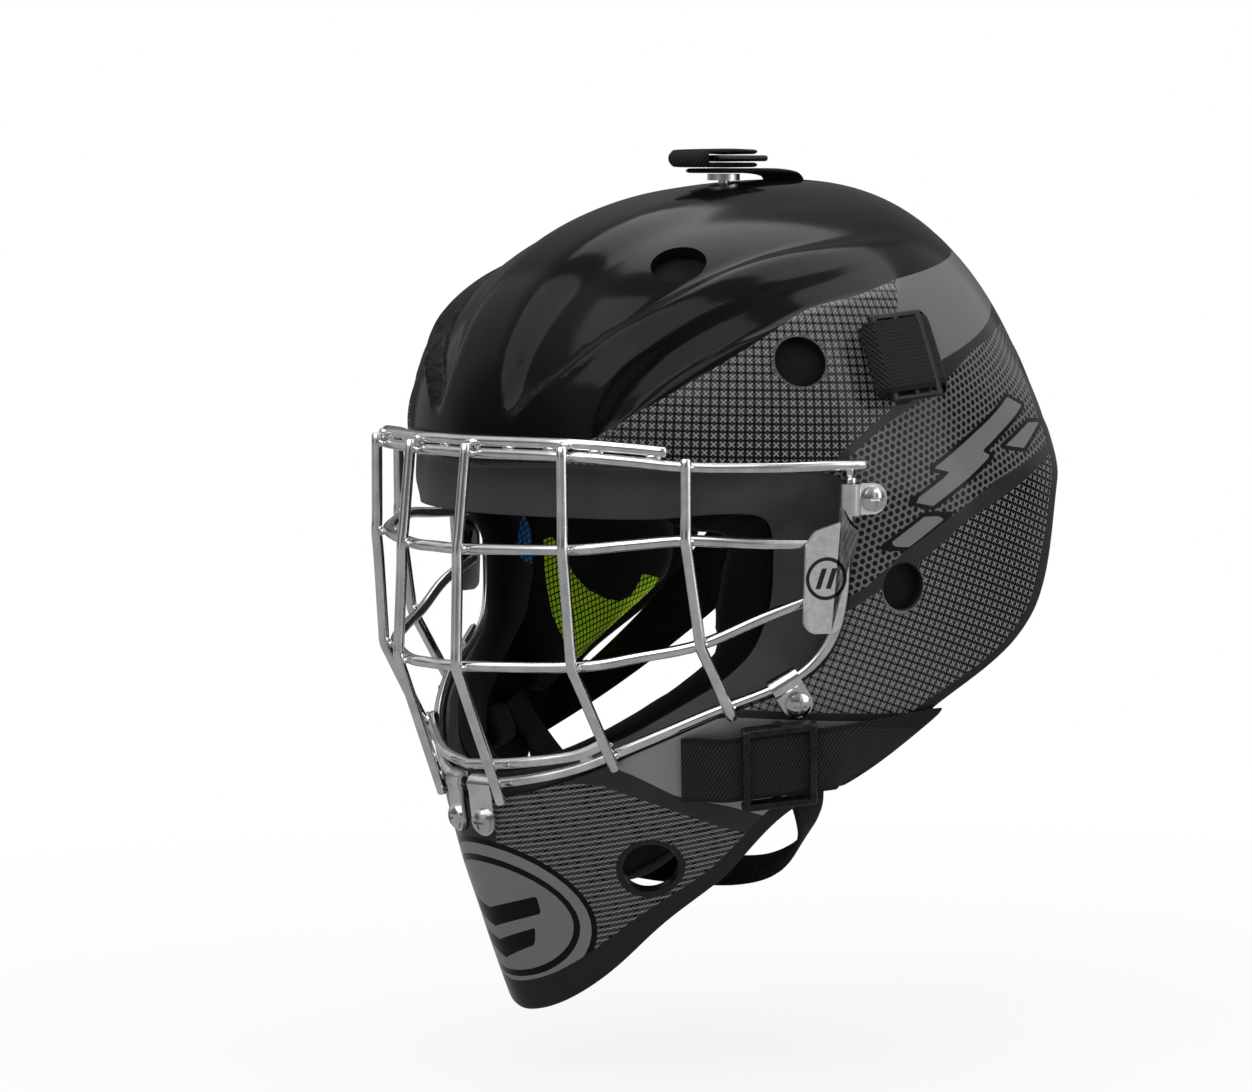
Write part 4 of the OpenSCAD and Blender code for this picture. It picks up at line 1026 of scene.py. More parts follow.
@dataclass(frozen=True)
class ShellPaint:
    """Clear-coated print on the outside of the shell, with some painted shade round the chin vent."""

    name: str = "shell_paint"
    black: float = 14
    stripe: float = 46
    grey: float = 112
    mark: float = 136
    cross_pitch: float = 2.9
    mesh_pitch: float = 2.75
    chin_pitch: float = 2.3

    def material(self) -> bpy.types.Material:
        """Builds the material."""
        made, recipe, shader = new_material(self.name)
        flat = recipe.stored("flat").outputs["Vector"]
        across, up, _ = recipe.split(flat)

        def zone(name: str) -> Term:
            """Distance into a painted panel, in mm."""
            return recipe.term(recipe.stored(name).outputs["Fac"])

        def lay(under: object, mask: Term, over: object) -> bpy.types.NodeSocket:
            """One coat over another where the mask is 1."""
            return recipe.blend(mask, under, over)

        cloud = recipe.noise(flat, 0.02, 2.0).ramp(0.3, 0.7)
        coat = recipe.blend(cloud, shade(self.stripe - 4), shade(self.stripe + 3))
        mark = shade(self.mark)

        upper = LIBRARY.add(recipe, GroupKind.CROSSES, Place=flat, Pitch=self.cross_pitch, Angle=-0.02)
        fade = (up - across * 0.12).ramp(-12.0, 62.0).math("POWER", 1.3)
        ground = recipe.blend(fade, shade(20), shade(96))
        ground = lay(ground, recipe.term(upper.outputs["Dark"]), shade(8))
        ground = lay(ground, recipe.term(upper.outputs["Light"]), mark)
        coat = lay(coat, zone("cross_panel").above(0.0), ground)

        coat = lay(coat, zone("rear_panel").above(0.0), shade(self.grey))

        net = LIBRARY.add(recipe, GroupKind.HONEYCOMB, Place=flat, Pitch=self.mesh_pitch, Angle=0.35)
        ground = lay(shade(self.grey - 8), recipe.term(net.outputs["Cell"]), shade(20))
        flash = zone("flashes")
        ground = lay(ground, flash.above(-1.2), shade(18))
        ground = lay(ground, flash.above(0.3), shade(self.grey + 6))
        coat = lay(coat, zone("mesh_band").above(0.0), ground)

        lower = LIBRARY.add(recipe, GroupKind.CROSSES, Place=flat, Pitch=self.cross_pitch * 0.93, Angle=-0.33)
        fade = (across * -1 + up * -0.45).ramp(-205.0, -85.0).math("POWER", 1.4)
        ground = recipe.blend(fade, shade(14), shade(94))
        ground = lay(ground, recipe.term(lower.outputs["Dark"]), shade(6))
        ground = lay(ground, recipe.term(lower.outputs["Light"]), mark)
        coat = lay(coat, zone("side_panel").above(0.0), ground)

        coat = lay(coat, zone("strap_panel").above(0.0), shade(self.grey + 16))

        zig = LIBRARY.add(recipe, GroupKind.ZIGZAG, Place=flat, Pitch=self.chin_pitch, Angle=0.16)
        chance = recipe.term(zig.outputs["Chance"])
        cell = recipe.blend(chance.above(0.72), shade(46), shade(6))
        ground = lay(shade(70), recipe.term(zig.outputs["Cell"]), cell)
        ground = lay(ground, recipe.term(zig.outputs["Line"]), shade(self.mark))
        # Dark ring round the chin vent: partly a printed ring, partly painted shade standing for the hole's
        # dark recess.
        ring = zone("chin_ring")
        ground = lay(ground, ring.below(12.4), shade(34))
        coat = lay(coat, zone("chin_panel").above(0.0), ground)

        shield = zone("shield")
        coat = lay(coat, shield.above(-2.2), shade(12))
        coat = lay(coat, shield.above(0.0), shade(self.grey + 4))
        coat = lay(coat, shield.above(4.2), shade(12))
        coat = lay(coat, shield.above(6.6), shade(self.grey))
        coat = lay(coat, zone("shield_lines").above(0.0) * shield.above(6.6), shade(12))

        crown = zone("crown").above(0.0)
        coat = lay(coat, crown, shade(self.black))
        border = zone("edge_mm").below(6.0)
        coat = lay(coat, border, shade(self.stripe - 10))
        recipe.link(coat, shader.inputs["Base Color"])

        smudge = recipe.noise(recipe.object_mm(), 0.07, 4.0).ramp(0.3, 0.75)
        recipe.link((smudge * 0.06 + 0.11).source, shader.inputs["Roughness"])
        shader.inputs["Specular IOR Level"].default_value = 0.14
        peel = recipe.noise(recipe.object_mm(), 0.25, 2.0)
        set_bump(recipe, shader, peel, 0.05, 0.3)
        return made


# ---- meshes


@dataclass
class Mesh:
    """Vertices in mm, faces, and what is kept on each."""

    points: Array
    faces: list[tuple[int, ...]]
    kept: dict[str, Array] = field(default_factory=dict)
    material_of: list[int] | None = None

    def join(self, other: "Mesh", material: int | None = None) -> "Mesh":
        """This mesh and another as one.

        Args:
            other: the mesh that is added.
            material: the material index of all its faces, where the two differ.

        Returns:
            The joined mesh.
        """
        n = len(self.points)
        mine = self.material_of or [0] * len(self.faces)
        theirs = other.material_of or [0] * len(other.faces)
        if material is not None:
            theirs = [material] * len(other.faces)
        kept = {}
        for name in {**self.kept, **other.kept}:
            a, b = self.kept.get(name), other.kept.get(name)
            shape = (a if a is not None else b).shape[1:]
            a = np.zeros((n, *shape)) if a is None else a
            b = np.zeros((len(other.points), *shape)) if b is None else b
            kept[name] = np.concatenate([a, b])
        faces = self.faces + [tuple(i + n for i in f) for f in other.faces]
        return Mesh(np.concatenate([self.points, other.points]), faces, kept, mine + theirs)

    def on(self, side: Side) -> "Mesh":
        """This mesh, written for the left, on either side."""
        if side is Side.LEFT:
            return self
        faces = [tuple(reversed(f)) for f in self.faces]
        return Mesh(flipped(self.points), faces, self.kept, self.material_of)

    def to_object(
        self, name: str, materials: Sequence[bpy.types.Material], sharp: float = 40.0
    ) -> bpy.types.Object:
        """An object in the scene, shaded smooth up to an angle in degrees."""
        data = bpy.data.meshes.new(name)
        data.from_pydata((self.points * MM).tolist(), [], self.faces)
        for material in materials:
            data.materials.append(material)
        if self.material_of is not None:
            data.polygons.foreach_set("material_index", self.material_of)
        for key, values in self.kept.items():
            kind = "FLOAT_VECTOR" if values.ndim == 2 else "FLOAT"
            attribute = data.attributes.new(key, kind, "POINT")
            where = "vector" if values.ndim == 2 else "value"
            attribute.data.foreach_set(where, np.ascontiguousarray(values, np.float32).ravel())
        data.update()
        for polygon in data.polygons:
            polygon.use_smooth = True
        data.set_sharp_from_angle(angle=math.radians(sharp))
        made = bpy.data.objects.new(name, data)
        bpy.context.scene.collection.objects.link(made)
        return made


def grid_faces(
    rows: int, columns: int, round_rows: bool = False, round_columns: bool = False
) -> list[tuple[int, ...]]:
    """Four-sided faces over a grid of points stored row by row."""
    faces = []
    for i in range(rows if round_rows else rows - 1):
        for j in range(columns if round_columns else columns - 1):
            a, b = i * columns + j, i * columns + (j + 1) % columns
            c, d = ((i + 1) % rows) * columns + (j + 1) % columns, ((i + 1) % rows) * columns + j
            faces.append((a, b, c, d))
    return faces


def from_least(face: list[int]) -> tuple[int, ...]:
    """A face's corners in their order, starting at the lowest index."""
    first = face.index(min(face))
    return tuple(face[first:] + face[:first])


def capped_faces(rings: int, sides: int) -> list[tuple[int, ...]]:
    """Faces round a stack of rings, closed by one face at each end."""
    last = (rings - 1) * sides
    ends = [tuple(range(sides)), tuple(reversed(range(last, last + sides)))]
    return grid_faces(rings, sides, round_columns=True) + ends


def tube(path: Array, radius: float, sides: int = 20, bevel: float = 0.5) -> Mesh:
    """Round wire along a path, its ends closed and slightly bevelled.

    Args:
        path: the middle line.
        radius: the wire's radius.
        sides: faces round it.
        bevel: how far the ends are chamfered.

    Returns:
        The mesh.
    """
    p = np.asarray(path, float)
    tangents = unit(np.gradient(p, axis=0))
    normal = unit(np.cross(tangents[0], p[0] - FORM.centre))
    angle = np.radians(np.arange(sides) * 360 / sides)
    frames = []
    for k in range(len(p)):
        normal = unit(normal - tangents[k] * (normal @ tangents[k]))
        frames.append((normal, np.cross(tangents[k], normal)))

    def ring(k: int, r: float, shift: float) -> Array:
        """One ring of the wire."""
        a, b = frames[k]
        return p[k] + tangents[k] * shift + r * (np.cos(angle)[:, None] * a + np.sin(angle)[:, None] * b)

    end = len(p) - 1
    rings = [ring(0, radius - bevel, 0.0), ring(0, radius, bevel)]
    rings += [ring(k, radius, 0.0) for k in range(1, end)]
    rings += [ring(end, radius, -bevel), ring(end, radius - bevel, 0.0)]
    faces = capped_faces(len(rings), sides)
    return Mesh(np.concatenate(rings), [tuple(reversed(f)) for f in faces])


def bead(centre: Array, along: Array, length: float, radius: float) -> Mesh:
    """A small weld bead: an egg-shaped drop with its long axis along a direction."""
    axis = unit(along)
    side = unit(np.cross(axis, [0.31, 0.52, 0.8]))
    other = np.cross(axis, side)
    rows, columns = 7, 10
    points = []
    for i in range(rows):
        t = math.pi * (i + 0.5) / rows
        for j in range(columns):
            w = 2 * math.pi * j / columns
            round_it = (side * math.cos(w) + other * math.sin(w)) * math.sin(t) * radius
            points.append(centre + axis * (-math.cos(t) * length / 2) + round_it)
    return Mesh(np.array(points), [tuple(reversed(f)) for f in capped_faces(rows, columns)])


def sheet_frames(grid: Array) -> tuple[Array, Array, Array]:
    """Normals of a grid of points, and how far each lies along and across it, in mm."""
    along = np.gradient(grid, axis=0)
    across = np.gradient(grid, axis=1)
    normals = unit(np.cross(along, across))
    middle = grid[:, grid.shape[1] // 2]
    run = np.concatenate([[0], np.cumsum(np.linalg.norm(np.diff(middle, axis=0), axis=1))])
    width = np.cumsum(np.linalg.norm(np.diff(grid, axis=1), axis=2), axis=1)
    width = np.concatenate([np.zeros((len(grid), 1)), width], axis=1)
    width = width - width[:, -1:] / 2
    return normals, np.repeat(run[:, None], grid.shape[1], axis=1), width


def strap_mesh(rows: Array, thickness: float, along: int = 5, across: int = 4) -> Mesh:
    """Webbing with rounded selvedges.

    Args:
        rows: rows of points across the strap, in order along it.
        thickness: of the webbing.
        along: pieces between rows.
        across: pieces between points of a row.

    Returns:
        The mesh, with the place on the strap kept as "run".
    """
    grid = through(rows, along)
    grid = np.swapaxes(through(np.swapaxes(grid, 0, 1), across), 0, 1)
    normals, run, width = sheet_frames(grid)
    n, m = grid.shape[:2]
    v = np.linspace(-1, 1, m)
    half = thickness / 2 * (0.25 + 0.75 * np.sqrt(np.maximum(0, 1 - np.abs(v) ** 10)))
    top = grid + normals * half[None, :, None]
    low = grid - normals * half[None, :, None]
    loop = np.concatenate([top, low[:, ::-1]], axis=1)
    place = np.stack([run, width, np.zeros_like(run)], -1)
    kept = np.concatenate([place, place[:, ::-1]], axis=1)
    columns = 2 * m
    faces = grid_faces(n, columns, round_columns=True)
    for row, turn in ((0, False), (n - 1, True)):
        for j in range(m - 1):
            a, b = row * columns + j, row * columns + j + 1
            c, d = row * columns + columns - 2 - j, row * columns + columns - 1 - j
            faces.append((a, b, c, d) if turn else (d, c, b, a))
    faces = [tuple(reversed(f)) for f in faces]
    return Mesh(loop.reshape(-1, 3), faces, {"run": kept.reshape(-1, 3)})


def slab_mesh(front: Array, back: Array, bulge: float = 0.6) -> Mesh:
    """Closed body between two grids of points, its sides slightly rounded.

    Args:
        front: the grid of the side that shows.
        back: the grid behind it.
        bulge: how far the side's middle stands out.

    Returns:
        The mesh, with the place on the front kept as "run".
    """
    n, m = front.shape[:2]
    _, run, width = sheet_frames(front)
    middle = (front + back) / 2
    ring_index = (
        [(i, 0) for i in range(n)]
        + [(n - 1, j) for j in range(1, m)]
        + [(i, m - 1) for i in range(n - 2, -1, -1)]
        + [(0, j) for j in range(m - 2, 0, -1)]
    )
    points = [front.reshape(-1, 3), back.reshape(-1, 3)]
    side = []
    for i, j in ring_index:
        inward = middle[min(max(i, 1), n - 2), min(max(j, 1), m - 2)] - middle[i, j]
        side.append(middle[i, j] - unit(inward) * bulge)
    points.append(np.array(side))
    place = np.stack([run, width, np.zeros_like(run)], -1).reshape(-1, 3)
    around = np.array([place[i * m + j] for i, j in ring_index])
    total = n * m
    faces = grid_faces(n, m) + [tuple(reversed([q + total for q in f])) for f in grid_faces(n, m)]
    count = len(ring_index)
    for k in range(count):
        (i, j), (p, q) = ring_index[k], ring_index[(k + 1) % count]
        a, b = i * m + j, p * m + q
        c, d = 2 * total + k, 2 * total + (k + 1) % count
        faces.append((a, b, d, c))
        faces.append((c, d, b + total, a + total))
    made = Mesh(np.concatenate(points), faces, {"run": np.concatenate([place, place, around])})
    first = made.faces[0]
    a, b, c = (made.points[first[k]] for k in range(3))
    if np.cross(b - a, c - a) @ (front[0, 0] - back[0, 0]) < 0:
        made.faces = [tuple(reversed(f)) for f in made.faces]
    return made


def hang(
    piece: bpy.types.Object, body: str, node: str | None = None
) -> bpy.types.Object:
    """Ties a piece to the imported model.

    Args:
        piece: the dressed piece.
        body: the body that it moves with.
        node: the solid that it stands in for.

    Returns:
        The piece.
    """
    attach(piece, body)
    if node:
        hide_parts(node)
    return piece


def punched(target: bpy.types.Object, cutters: Sequence[bpy.types.Object]) -> bpy.types.Object:
    """Cuts closed cutters out of an object and keeps the shading of its own faces.

    Args:
        target: the object that is cut.
        cutters: what is cut out. They are removed afterwards.

    Returns:
        The cut object.
    """
    data = target.data
    normals = np.zeros(len(data.vertices) * 3, np.float32)
    data.vertices.foreach_get("normal", normals)
    kept = data.attributes.new("skin_normal", "FLOAT_VECTOR", "POINT")
    kept.data.foreach_set("vector", normals)
    for cutter in cutters:
        change = target.modifiers.new("cut", "BOOLEAN")
        change.operation = "DIFFERENCE"
        change.solver = "MANIFOLD"
        change.object = cutter
    graph = bpy.context.evaluated_depsgraph_get()
    whole = target.evaluated_get(graph)
    result = bpy.data.meshes.new_from_object(whole, preserve_all_data_layers=True, depsgraph=graph)
    target.modifiers.clear()
    target.data = result
    for cutter in cutters:
        bpy.data.objects.remove(cutter)
    result.set_sharp_from_angle(angle=math.radians(40))
    stored = result.attributes.get("skin_normal")
    if stored:
        values = np.zeros(len(result.vertices) * 3, np.float32)
        stored.data.foreach_get("vector", values)
        values = values.reshape(-1, 3)
        corner = np.zeros(len(result.loops), np.int32)
        result.loops.foreach_get("vertex_index", corner)
        wanted = values[corner]
        for polygon in result.polygons:
            first = wanted[polygon.loop_start]
            is_cut = polygon.material_index >= len(result.materials) - 1
            if is_cut or first @ np.array(polygon.normal) < 0.3:
                wanted[polygon.loop_start : polygon.loop_start + polygon.loop_total] = 0
        result.normals_split_custom_set(wanted.tolist())
        result.attributes.remove(result.attributes["skin_normal"])
    return target


@dataclass(frozen=True)
class Cutter:
    """Makes the closed solids that holes and slots are cut with."""

    finish: bpy.types.Material
    sides: int = 72
    reach: float = 14.0
    slot_reach: float = 12.0

    def _solid(self, name: str, rings: Sequence[Array]) -> bpy.types.Object:
        """A stack of rings, closed at both ends."""
        n = len(rings[0])
        last = (len(rings) - 1) * n
        faces = grid_faces(len(rings), n, round_columns=True)
        faces += [tuple(reversed(range(n))), tuple(range(last, last + n))]
        return Mesh(np.concatenate(rings), faces).to_object(name, [self.finish])

    def bore(self, name: str, p: Array, axis: Array, radius: float, flare: float) -> bpy.types.Object:
        """A round cutter along an axis, opening out towards the surface."""
        x = unit(np.cross(axis, [0.2, 0.3, 0.9]))
        y = np.cross(axis, x)
        w = np.radians(np.arange(self.sides) * 360 / self.sides)
        circle = np.cos(w)[:, None] * x + np.sin(w)[:, None] * y
        wide = radius + flare + 0.4
        mouth = (radius + flare * 0.35, -flare * 0.35)
        profile = ((radius, -self.reach), (radius, -flare), mouth, (wide, 0.4), (wide, self.reach))
        return self._solid(name, [p + axis * h + circle * r for r, h in profile])

    def slot(
        self, name: str, p: Array, axis: Array, along: Array, length: float, width: float
    ) -> bpy.types.Object:
        """A cutter with round ends for a strap's slot."""
        x = unit(along - axis * (along @ axis))
        y = np.cross(axis, x)
        r, h = width / 2, (length - width) / 2
        half = [(h + r * math.cos(a), r * math.sin(a)) for a in np.radians(np.linspace(-90, 90, 13))]
        outline = half + [(-a, -b) for a, b in half]
        ring = np.array([x * a + y * b for a, b in outline])
        return self._solid(name, [p + axis * q * self.slot_reach + ring for q in (-1, 1)])


# ---- the shell


@dataclass(frozen=True)
class Hole:
    """A round hole through the shell, at a bearing and an elevation."""

    bearing: float
    rise: float
    diameter: float
    flare: float = 0.8


class SkinPart(IntEnum):
    """The shell's materials, in the order of its slots. The walls of its holes come last."""

    PAINT = 0
    RECESS = 1
    EDGE = 2
    INSIDE = 3


@dataclass(frozen=True)
class SkinRow:
    """One closed row of the skin: between which outlines, at which share, how deep, and its part."""

    pair: int
    share: float
    depth: float
    part: SkinPart


@dataclass
class Shell:
    """The moulded and painted shell, with its recess, flutes, holes and slots."""

    columns: int = 240
    body_rows: int = 100
    inner_rows: int = 28
    corner: float = 1.3
    holes: tuple[Hole, ...] = (
        Hole(87, -7, 16),
        Hole(67.7, 31, 18),
        Hole(42, 51.6, 20),
        Hole(36.6, -53, 20),
        Hole(79.8, 8.6, 5, 0.2),
        Hole(67.4, -26.9, 5, 0.2),
        Hole(4.1, -42, 5, 0.2),
    )
    upper_slot: tuple[float, float] = (97.4, 32.5)
    slot_length: float = 32.0
    slot_width: float = 6.0
    top_slot_y: float = 5.0
    top_slot_length: float = 30.0
    stud_y: float = -23.5
    stud_hole_d: float = 5.0
    rim_radius: float = 118.0
    far_mm: float = 99.0
    turn_in: float = 13.0
    turn: tuple[tuple[float, float], ...] = (
        (0, 0), (0.2, 0), (0.27, 0.35), (0.34, 0.75), (0.4, 1), (0.5, 1), (0.6, 0.8), (0.68, 0.45),
        (0.78, 0.1), (0.86, 0), (1, 0),
    )

    def _rows(self) -> list[SkinRow]:
        """Rows of the skin, from the opening over the outside and back along the inside."""
        recess, wall = FORM.recess, FORM.wall
        paint, dark, edge, inside = SkinPart.PAINT, SkinPart.RECESS, SkinPart.EDGE, SkinPart.INSIDE
        rows = [SkinRow(0, 0.0, FORM.inner_drop + 1.2, edge), SkinRow(0, 0.004, FORM.inner_drop + 0.4, edge)]
        rows.append(SkinRow(0, 0.012, FORM.inner_drop, dark))
        rows += [SkinRow(0, float(t), FORM.recess_drop(t), dark) for t in np.linspace(0.05, 0.9, 9)]
        for t, share in ((0.93, 0.99), (0.95, 0.95), (0.965, 0.85), (0.98, 0.62), (0.992, 0.36), (1.0, 0.17)):
            rows.append(SkinRow(0, t, recess * share, dark))
        for t, share in ((0.006, 0.05), (0.014, 0.012), (0.022, 0.0)):
            rows.append(SkinRow(1, t, recess * share, paint))
        rows += [SkinRow(1, float(t), 0.0, paint) for t in np.linspace(0.03, 0.992, self.body_rows)]
        for t, depth in ((0.9965, 0.25), (0.9995, 0.9), (1.0, self.corner)):
            rows.append(SkinRow(1, t, depth, edge))
        for t, depth in ((1.0, wall - self.corner), (0.9975, wall - 0.3)):
            rows.append(SkinRow(1, t, depth, edge))
        rows += [SkinRow(1, float(t), wall, inside) for t in np.linspace(0.985, 0.02, self.inner_rows)]
        rows += [SkinRow(0, float(t), FORM.recess_drop(t) + wall, inside) for t in np.linspace(0.97, 0.03, 9)]
        for t, short in ((0.004, 0.3), (0.0, 1.2)):
            rows.append(SkinRow(0, t, FORM.inner_drop + wall - short, edge))
        return rows

    def _skin(self) -> Mesh:
        """The closed skin on both sides, with the painted panels' distances."""
        rows = self._rows()
        crown = int(self.columns * 0.52)
        first = np.linspace(0, 0.35, crown + 1)[:-1]
        s = np.concatenate([first, np.linspace(0.35, 1, self.columns - crown + 1)])
        rims = [FORM.rim(s, k) for k in range(3)]
        lines, edge = [], []
        inward = self.turn_in * np.interp(s, *np.array(self.turn).T)
        reach = np.degrees(np.arccos(np.clip(np.sum(rims[1] * rims[2], -1), -1, 1)))
        for row in rows:
            t, back = row.share, 1 - row.share
            p = FORM.sight(turn_between(rims[row.pair], rims[row.pair + 1], np.full(len(s), t)))
            drop = row.depth + back * inward if row.pair == 0 else row.depth
            lines.append(p - FORM.out(p) * (drop + FORM.relief(p))[:, None])
            far = np.full(len(s), self.far_mm)
            edge.append(np.radians(reach) * self.rim_radius * back if row.pair == 1 else far)
        half = np.array(lines)
        edge_mm = np.array(edge)
        other = flipped(half[:, -2:0:-1])
        grid = np.concatenate([half, other], axis=1)
        edge_mm = np.concatenate([edge_mm, edge_mm[:, -2:0:-1]], axis=1)
        count, around = grid.shape[:2]
        faces = [(a, d, c, b) for a, b, c, d in grid_faces(count, around, True, True)]
        material = []
        for row, following in zip(rows, rows[1:] + rows[:1]):
            parts = {row.part, following.part}
            mixed = parts in ({SkinPart.PAINT, SkinPart.RECESS}, {SkinPart.EDGE, SkinPart.INSIDE})
            material += [int(min(parts) if mixed else max(parts))] * around
        points = grid.reshape(-1, 3)
        paint = PaintMap()
        kept = paint.fields(points)
        flat = paint.plane(points)
        kept["flat"] = np.concatenate([flat, np.zeros((len(flat), 1))], axis=1)
        kept["edge_mm"] = edge_mm.reshape(-1)
        off = points - FORM.centre
        bearing = np.degrees(np.arctan2(np.abs(off[:, 0]), -off[:, 1]))
        rise = np.degrees(np.arctan2(off[:, 2], np.hypot(off[:, 0], off[:, 1])))
        kept["tab"] = np.minimum(5.0 - np.abs(bearing - 70.5), 6.0 - np.abs(rise + 4.5))
        chin = FORM.face(36.6, -53)
        axis = FORM.out(chin)
        near = points.copy()
        near[:, 0] = np.abs(near[:, 0])
        off = near - chin
        kept["chin_ring"] = np.linalg.norm(off - (off @ axis)[:, None] * axis, axis=1)
        return Mesh(points, faces, kept, material)

    def build(self) -> bpy.types.Object:
        """Makes the shell and dresses it."""
        edge = MouldedPlastic("shell_edge", 14, 22, 0.3, 1.0, 0.02, 0.25, 0.3).material()
        cut = MouldedPlastic("hole_walls", 16, 24, 0.3, 1.0, 0.02, 0.0, 0.3).material()
        materials = [
            ShellPaint().material(),
            MouldedPlastic("recess_satin", 58, 66, 0.4, 0.8, 0.015, 0.0, 0.3).material(),
            edge,
            MouldedPlastic("shell_inside", 7, 12, 0.7, 0.6, 0.06, 0.0, 0.15, tab=SHELL_BLUE).material(),
            cut,
        ]
        made = self._skin().to_object("shell_painted", materials, 50)
        cutter = Cutter(cut)
        cutters = []
        for number, hole in enumerate(self.holes):
            p = FORM.face(hole.bearing, hole.rise)
            for side in Side:
                q, n = side.place(p), side.place(FORM.out(p))
                name = f"cut_{number}_{side.label}"
                cutters.append(cutter.bore(name, q, n, hole.diameter / 2, hole.flare))
        p = FORM.face(*self.upper_slot)
        for side in Side:
            q, n = side.place(p), side.place(FORM.out(p))
            cutters.append(cutter.slot(f"slot_{side.label}", q, n, UP, self.slot_length, self.slot_width))
        top = np.array([0, self.top_slot_y, FORM.crown_z])
        cutters.append(cutter.slot("slot_top", top, UP, RIGHT, self.top_slot_length, self.slot_width))
        stud = np.array([0, self.stud_y, FORM.crown_z])
        cutters.append(cutter.bore("cut_stud", stud, UP, self.stud_hole_d / 2, 0.2))
        hang(punched(made, cutters), "helmet", "shell")
        LOG.info("shell: %d faces", len(made.data.polygons))
        return made


# ---- the cage


@dataclass
class Cage:
    """Bent and welded wires over the opening, and the plates at its sides."""

    wire_d: float = 4.0
    reach: float = 13.0
    weld_apart: float = 14.0
    plate_t: float = 2.0
    plate_h: float = 39.0
    plate_w: float = 17.0
    plate_at: tuple[float, float] = (71.2, -4.2)
    shares: tuple[tuple[float, ...], ...] = ((1, 1.12, 1.26), (0.95, 0.86, 0.86), (0.46, 0.46, 0.42))
    uprights: tuple[tuple[tuple[float, float], ...], ...] = (
        ((8.2, 17), (7.9, -0.9), (7.9, -20.1), (9.3, -40)),
        ((27.6, 16.8), (27.6, 0), (28.2, -19.4), (32.6, -36.6)),
        ((47.3, 15.2), (47.3, 1.9), (49.5, -16), (55.2, -29)),
    )
    rim: tuple[tuple[float, float, float], ...] = (
        (75.6, 12.2, 1), (75.3, 8, 0.6), (75.1, 0, 0), (74.9, -8, 0), (73.6, -15, 0.5), (70, -20.6, 1),
        (63.3, -24.5, 1), (52, -28.3, 1), (38.2, -33, 1), (24.5, -36.6, 1), (11.3, -37.6, 1),
        (0, -37.8, 1),
    )

    rim_ends: tuple[float, ...] = (1.8, 0.7, -0.2, 0.0)

    @property
    def seat(self) -> float:
        """Height of a wire's middle where it lies in the recess."""
        return self.wire_d / 2 - FORM.recess + 0.35

    @property
    def on_top(self) -> float:
        """Height of a wire's middle where it lies on the painted skin."""
        return self.wire_d / 2 + 0.2

    @property
    def weld(self) -> float:
        """Distance between the middles of two wires that cross."""
        return self.wire_d + 0.16

    def cross_height(self, k: int, i: int) -> float:
        """Height of cross wire k's middle over the shell at upright i."""
        return max(self.reach * self.shares[i][k], self.on_top + self.weld) - self.weld

    def upright(self, i: int) -> Array:
        """Middle line of an upright on the left."""
        corners = []
        for k, (bearing, rise) in enumerate(self.uprights[i]):
            height = self.cross_height(k, i) + self.weld if k < 3 else self.seat + self.weld
            corners.append(FORM.stand(bearing, rise, height))
        p = corners
        line = [p[0]]
        bends = (((0.5, 0.15), 0.2), ((0.8, 0.45, 0.14), -0.15), ((0.86, 0.5), 0))
        for k, (shares, lift) in enumerate(bends):
            line += [p[k] * share + p[k + 1] * (1 - share) for share in shares]
            line.append(p[k + 1] + unit(p[k + 1] - FORM.centre) * lift)
        return np.array(line)

    def across(self, half: Sequence[Point]) -> Array:
        """Middle line of a wire that crosses from side to side."""
        points = through(FORM.stands(half), 5)
        return np.concatenate([flipped(points[::-1]), points[1:]])

    def lines(self) -> dict[str, list[Array]]:
        """Middle lines of all wires, by the node that each stands for."""
        a = self.cross_height
        top = [
            (0, 15.6, a(0, 0) + 0.3),
            (8.2, 15.5, a(0, 0)),
            (27.6, 15.3, a(0, 1)),
            (38, 14.7, a(0, 1) * 0.4 + a(0, 2) * 0.6),
            (47.3, 13.9, a(0, 2)),
            (60, 13.8, self.on_top),
            (70, 14, self.on_top),
            (78.2, 14.2, self.on_top),
        ]
        brow = [
            (0, 17.65, a(0, 0) + 0.3),
            (8.2, 17.55, a(0, 0)),
            (27.6, 17.35, a(0, 1)),
            (38, 16.75, a(0, 1) * 0.4 + a(0, 2) * 0.6),
            (43.9, 16.25, a(0, 1) * 0.15 + a(0, 2) * 0.85),
        ]
        middle = [
            (0, -1, a(1, 0)),
            (7.9, -0.9, a(1, 0)),
            (27.6, 0, a(1, 1)),
            (38, 1.1, a(1, 1) * 0.4 + a(1, 2) * 0.6),
            (47.3, 1.9, a(1, 2)),
            (58, 1.3, 1.2),
            (70.5, 0.9, 0),
        ]
        lower = [
            (0, -20.3, a(2, 0)),
            (7.9, -20.1, a(2, 0)),
            (28.2, -19.4, a(2, 1)),
            (39, -17.9, a(2, 1) * 0.4 + a(2, 2) * 0.6),
            (49.5, -16, a(2, 2)),
            (60, -11.8, 1),
            (70.5, -8.2, 0),
        ]
        rim = []
        for i in range(len(self.rim) - 1, -1, -1):
            bearing, rise, share = self.rim[i]
            seated = 0.2 * (1 - share) + self.seat * share
            height = self.rim_ends[i] if i < len(self.rim_ends) else seated
            rim.append((bearing, rise, height))
        chin = [(0, -35.3), (11.3, -35.1), (24.5, -34.5), (31, -32.7)]
        uprights = []
        for i in range(3):
            line = through(self.upright(i), 5)
            uprights += [line, flipped(line)]
        return {
            "cage_uprights": uprights,
            "cage_top_bar": [self.across(top)],
            "cage_brow_bar": [self.across(brow)],
            "cage_cross_bars": [self.across(middle), self.across(lower)],
            "cage_rim_wire": [self.across(rim)],
            "cage_chin_bar": [self.across([(b, r, self.seat + 0.3) for b, r in chin])],
        }

